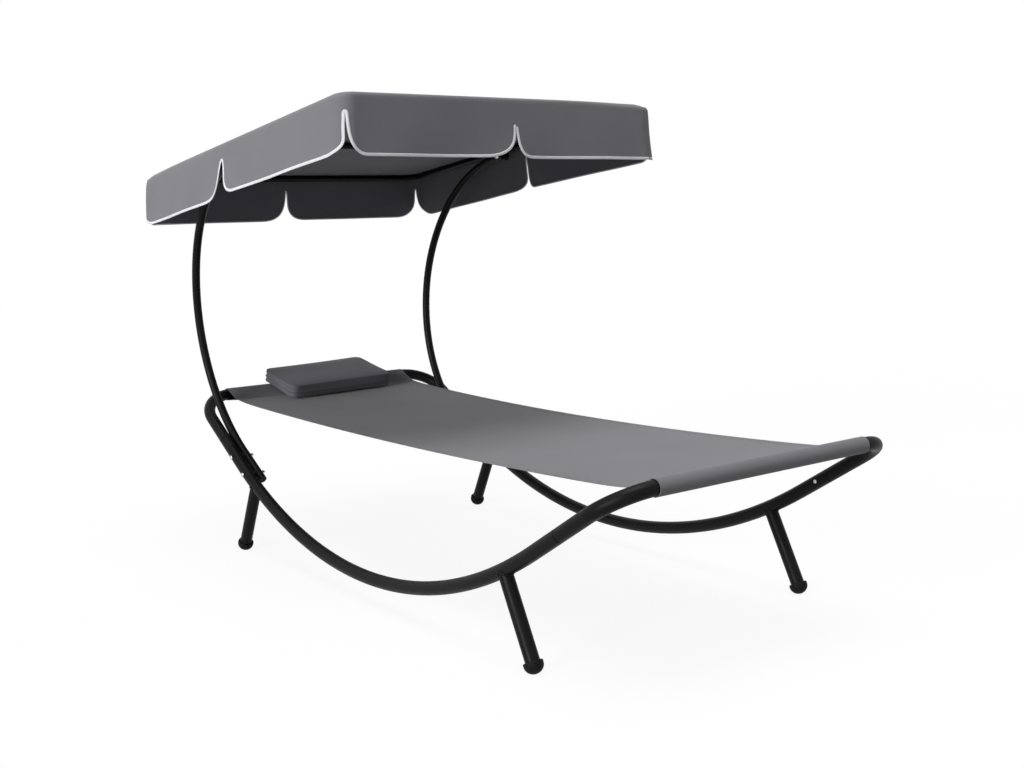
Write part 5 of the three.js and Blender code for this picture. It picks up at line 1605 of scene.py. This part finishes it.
# One where a ray from the camera, a reflection or a refraction meets the surface, nought for other rays
def seen_share(tree):
    path = tree.nodes.new("ShaderNodeLightPath")
    seen = path.outputs["Is Camera Ray"]
    for ray in ("Is Glossy Ray", "Is Transmission Ray"):
        either = tree.nodes.new("ShaderNodeMath")
        either.operation = "MAXIMUM"
        tree.links.new(seen, either.inputs[0])
        tree.links.new(path.outputs[ray], either.inputs[1])
        seen = either.outputs[0]
    return seen


# White to the camera and to reflections; a plain grey level for the light that it gives
def make_world():
    world = bpy.data.worlds.new("studio")
    bpy.context.scene.world = world
    world.use_nodes = True
    tree = world.node_tree
    tree.nodes.clear()
    mix = tree.nodes.new("ShaderNodeMixShader")
    tree.links.new(seen_share(tree), mix.inputs[0])
    for target, (colour, strength) in zip((mix.inputs[1], mix.inputs[2]), WORLD_LEVELS):
        level = tree.nodes.new("ShaderNodeBackground")
        level.inputs["Color"].default_value = colour
        level.inputs["Strength"].default_value = strength
        tree.links.new(level.outputs[0], target)
    out = tree.nodes.new("ShaderNodeOutputWorld")
    tree.links.new(mix.outputs[0], out.inputs[0])


def make_floor():
    half = FLOOR_HALF_SIZE
    corners = [(-half, -half, 0), (half, -half, 0), (half, half, 0), (-half, half, 0)]
    mesh = mesh_of("floor", corners, [(0, 1, 2, 3)])
    s = Shader("pale_floor")
    grey = s.colours(s.noise(3.0, 3.0), (0.29, 0.29, 0.29), (0.31, 0.31, 0.31))
    s.finish(grey, Roughness=0.9, Specular_IOR_Level=0.0)
    glow = s.node("ShaderNodeEmission", Strength=FLOOR_GLOW)
    share = s.math("MULTIPLY", seen_share(s.tree), FLOOR_GLOW_SHARE)
    mix = s.node("ShaderNodeMixShader")
    output = s.tree.nodes["Material Output"]
    s.link(share, mix.inputs[0])
    s.link(s.surface.outputs[0], mix.inputs[1])
    s.link(glow.outputs[0], mix.inputs[2])
    s.link(mix.outputs[0], output.inputs["Surface"])
    mesh.materials.append(s.material)
    new_object("floor", mesh)


def make_lights():
    for name, way, width, strength in LIGHTS:
        data = bpy.data.lights.new(name, "SUN")
        data.angle = math.radians(width)
        data.energy = strength
        lamp = new_object(name, data)
        lamp.rotation_euler = Vector(way).to_track_quat("-Z", "Y").to_euler()


make_camera()
make_rails()
make_end_frames()
make_legs()
make_posts()
make_post_bolts()
make_frame_screws()
make_hoops()
make_crossbar()
make_ears()
make_pivots()
make_cover()
make_sling()
make_pillow()
make_world()
make_floor()
make_lights()
bpy.context.scene.view_settings.view_transform = "Standard"
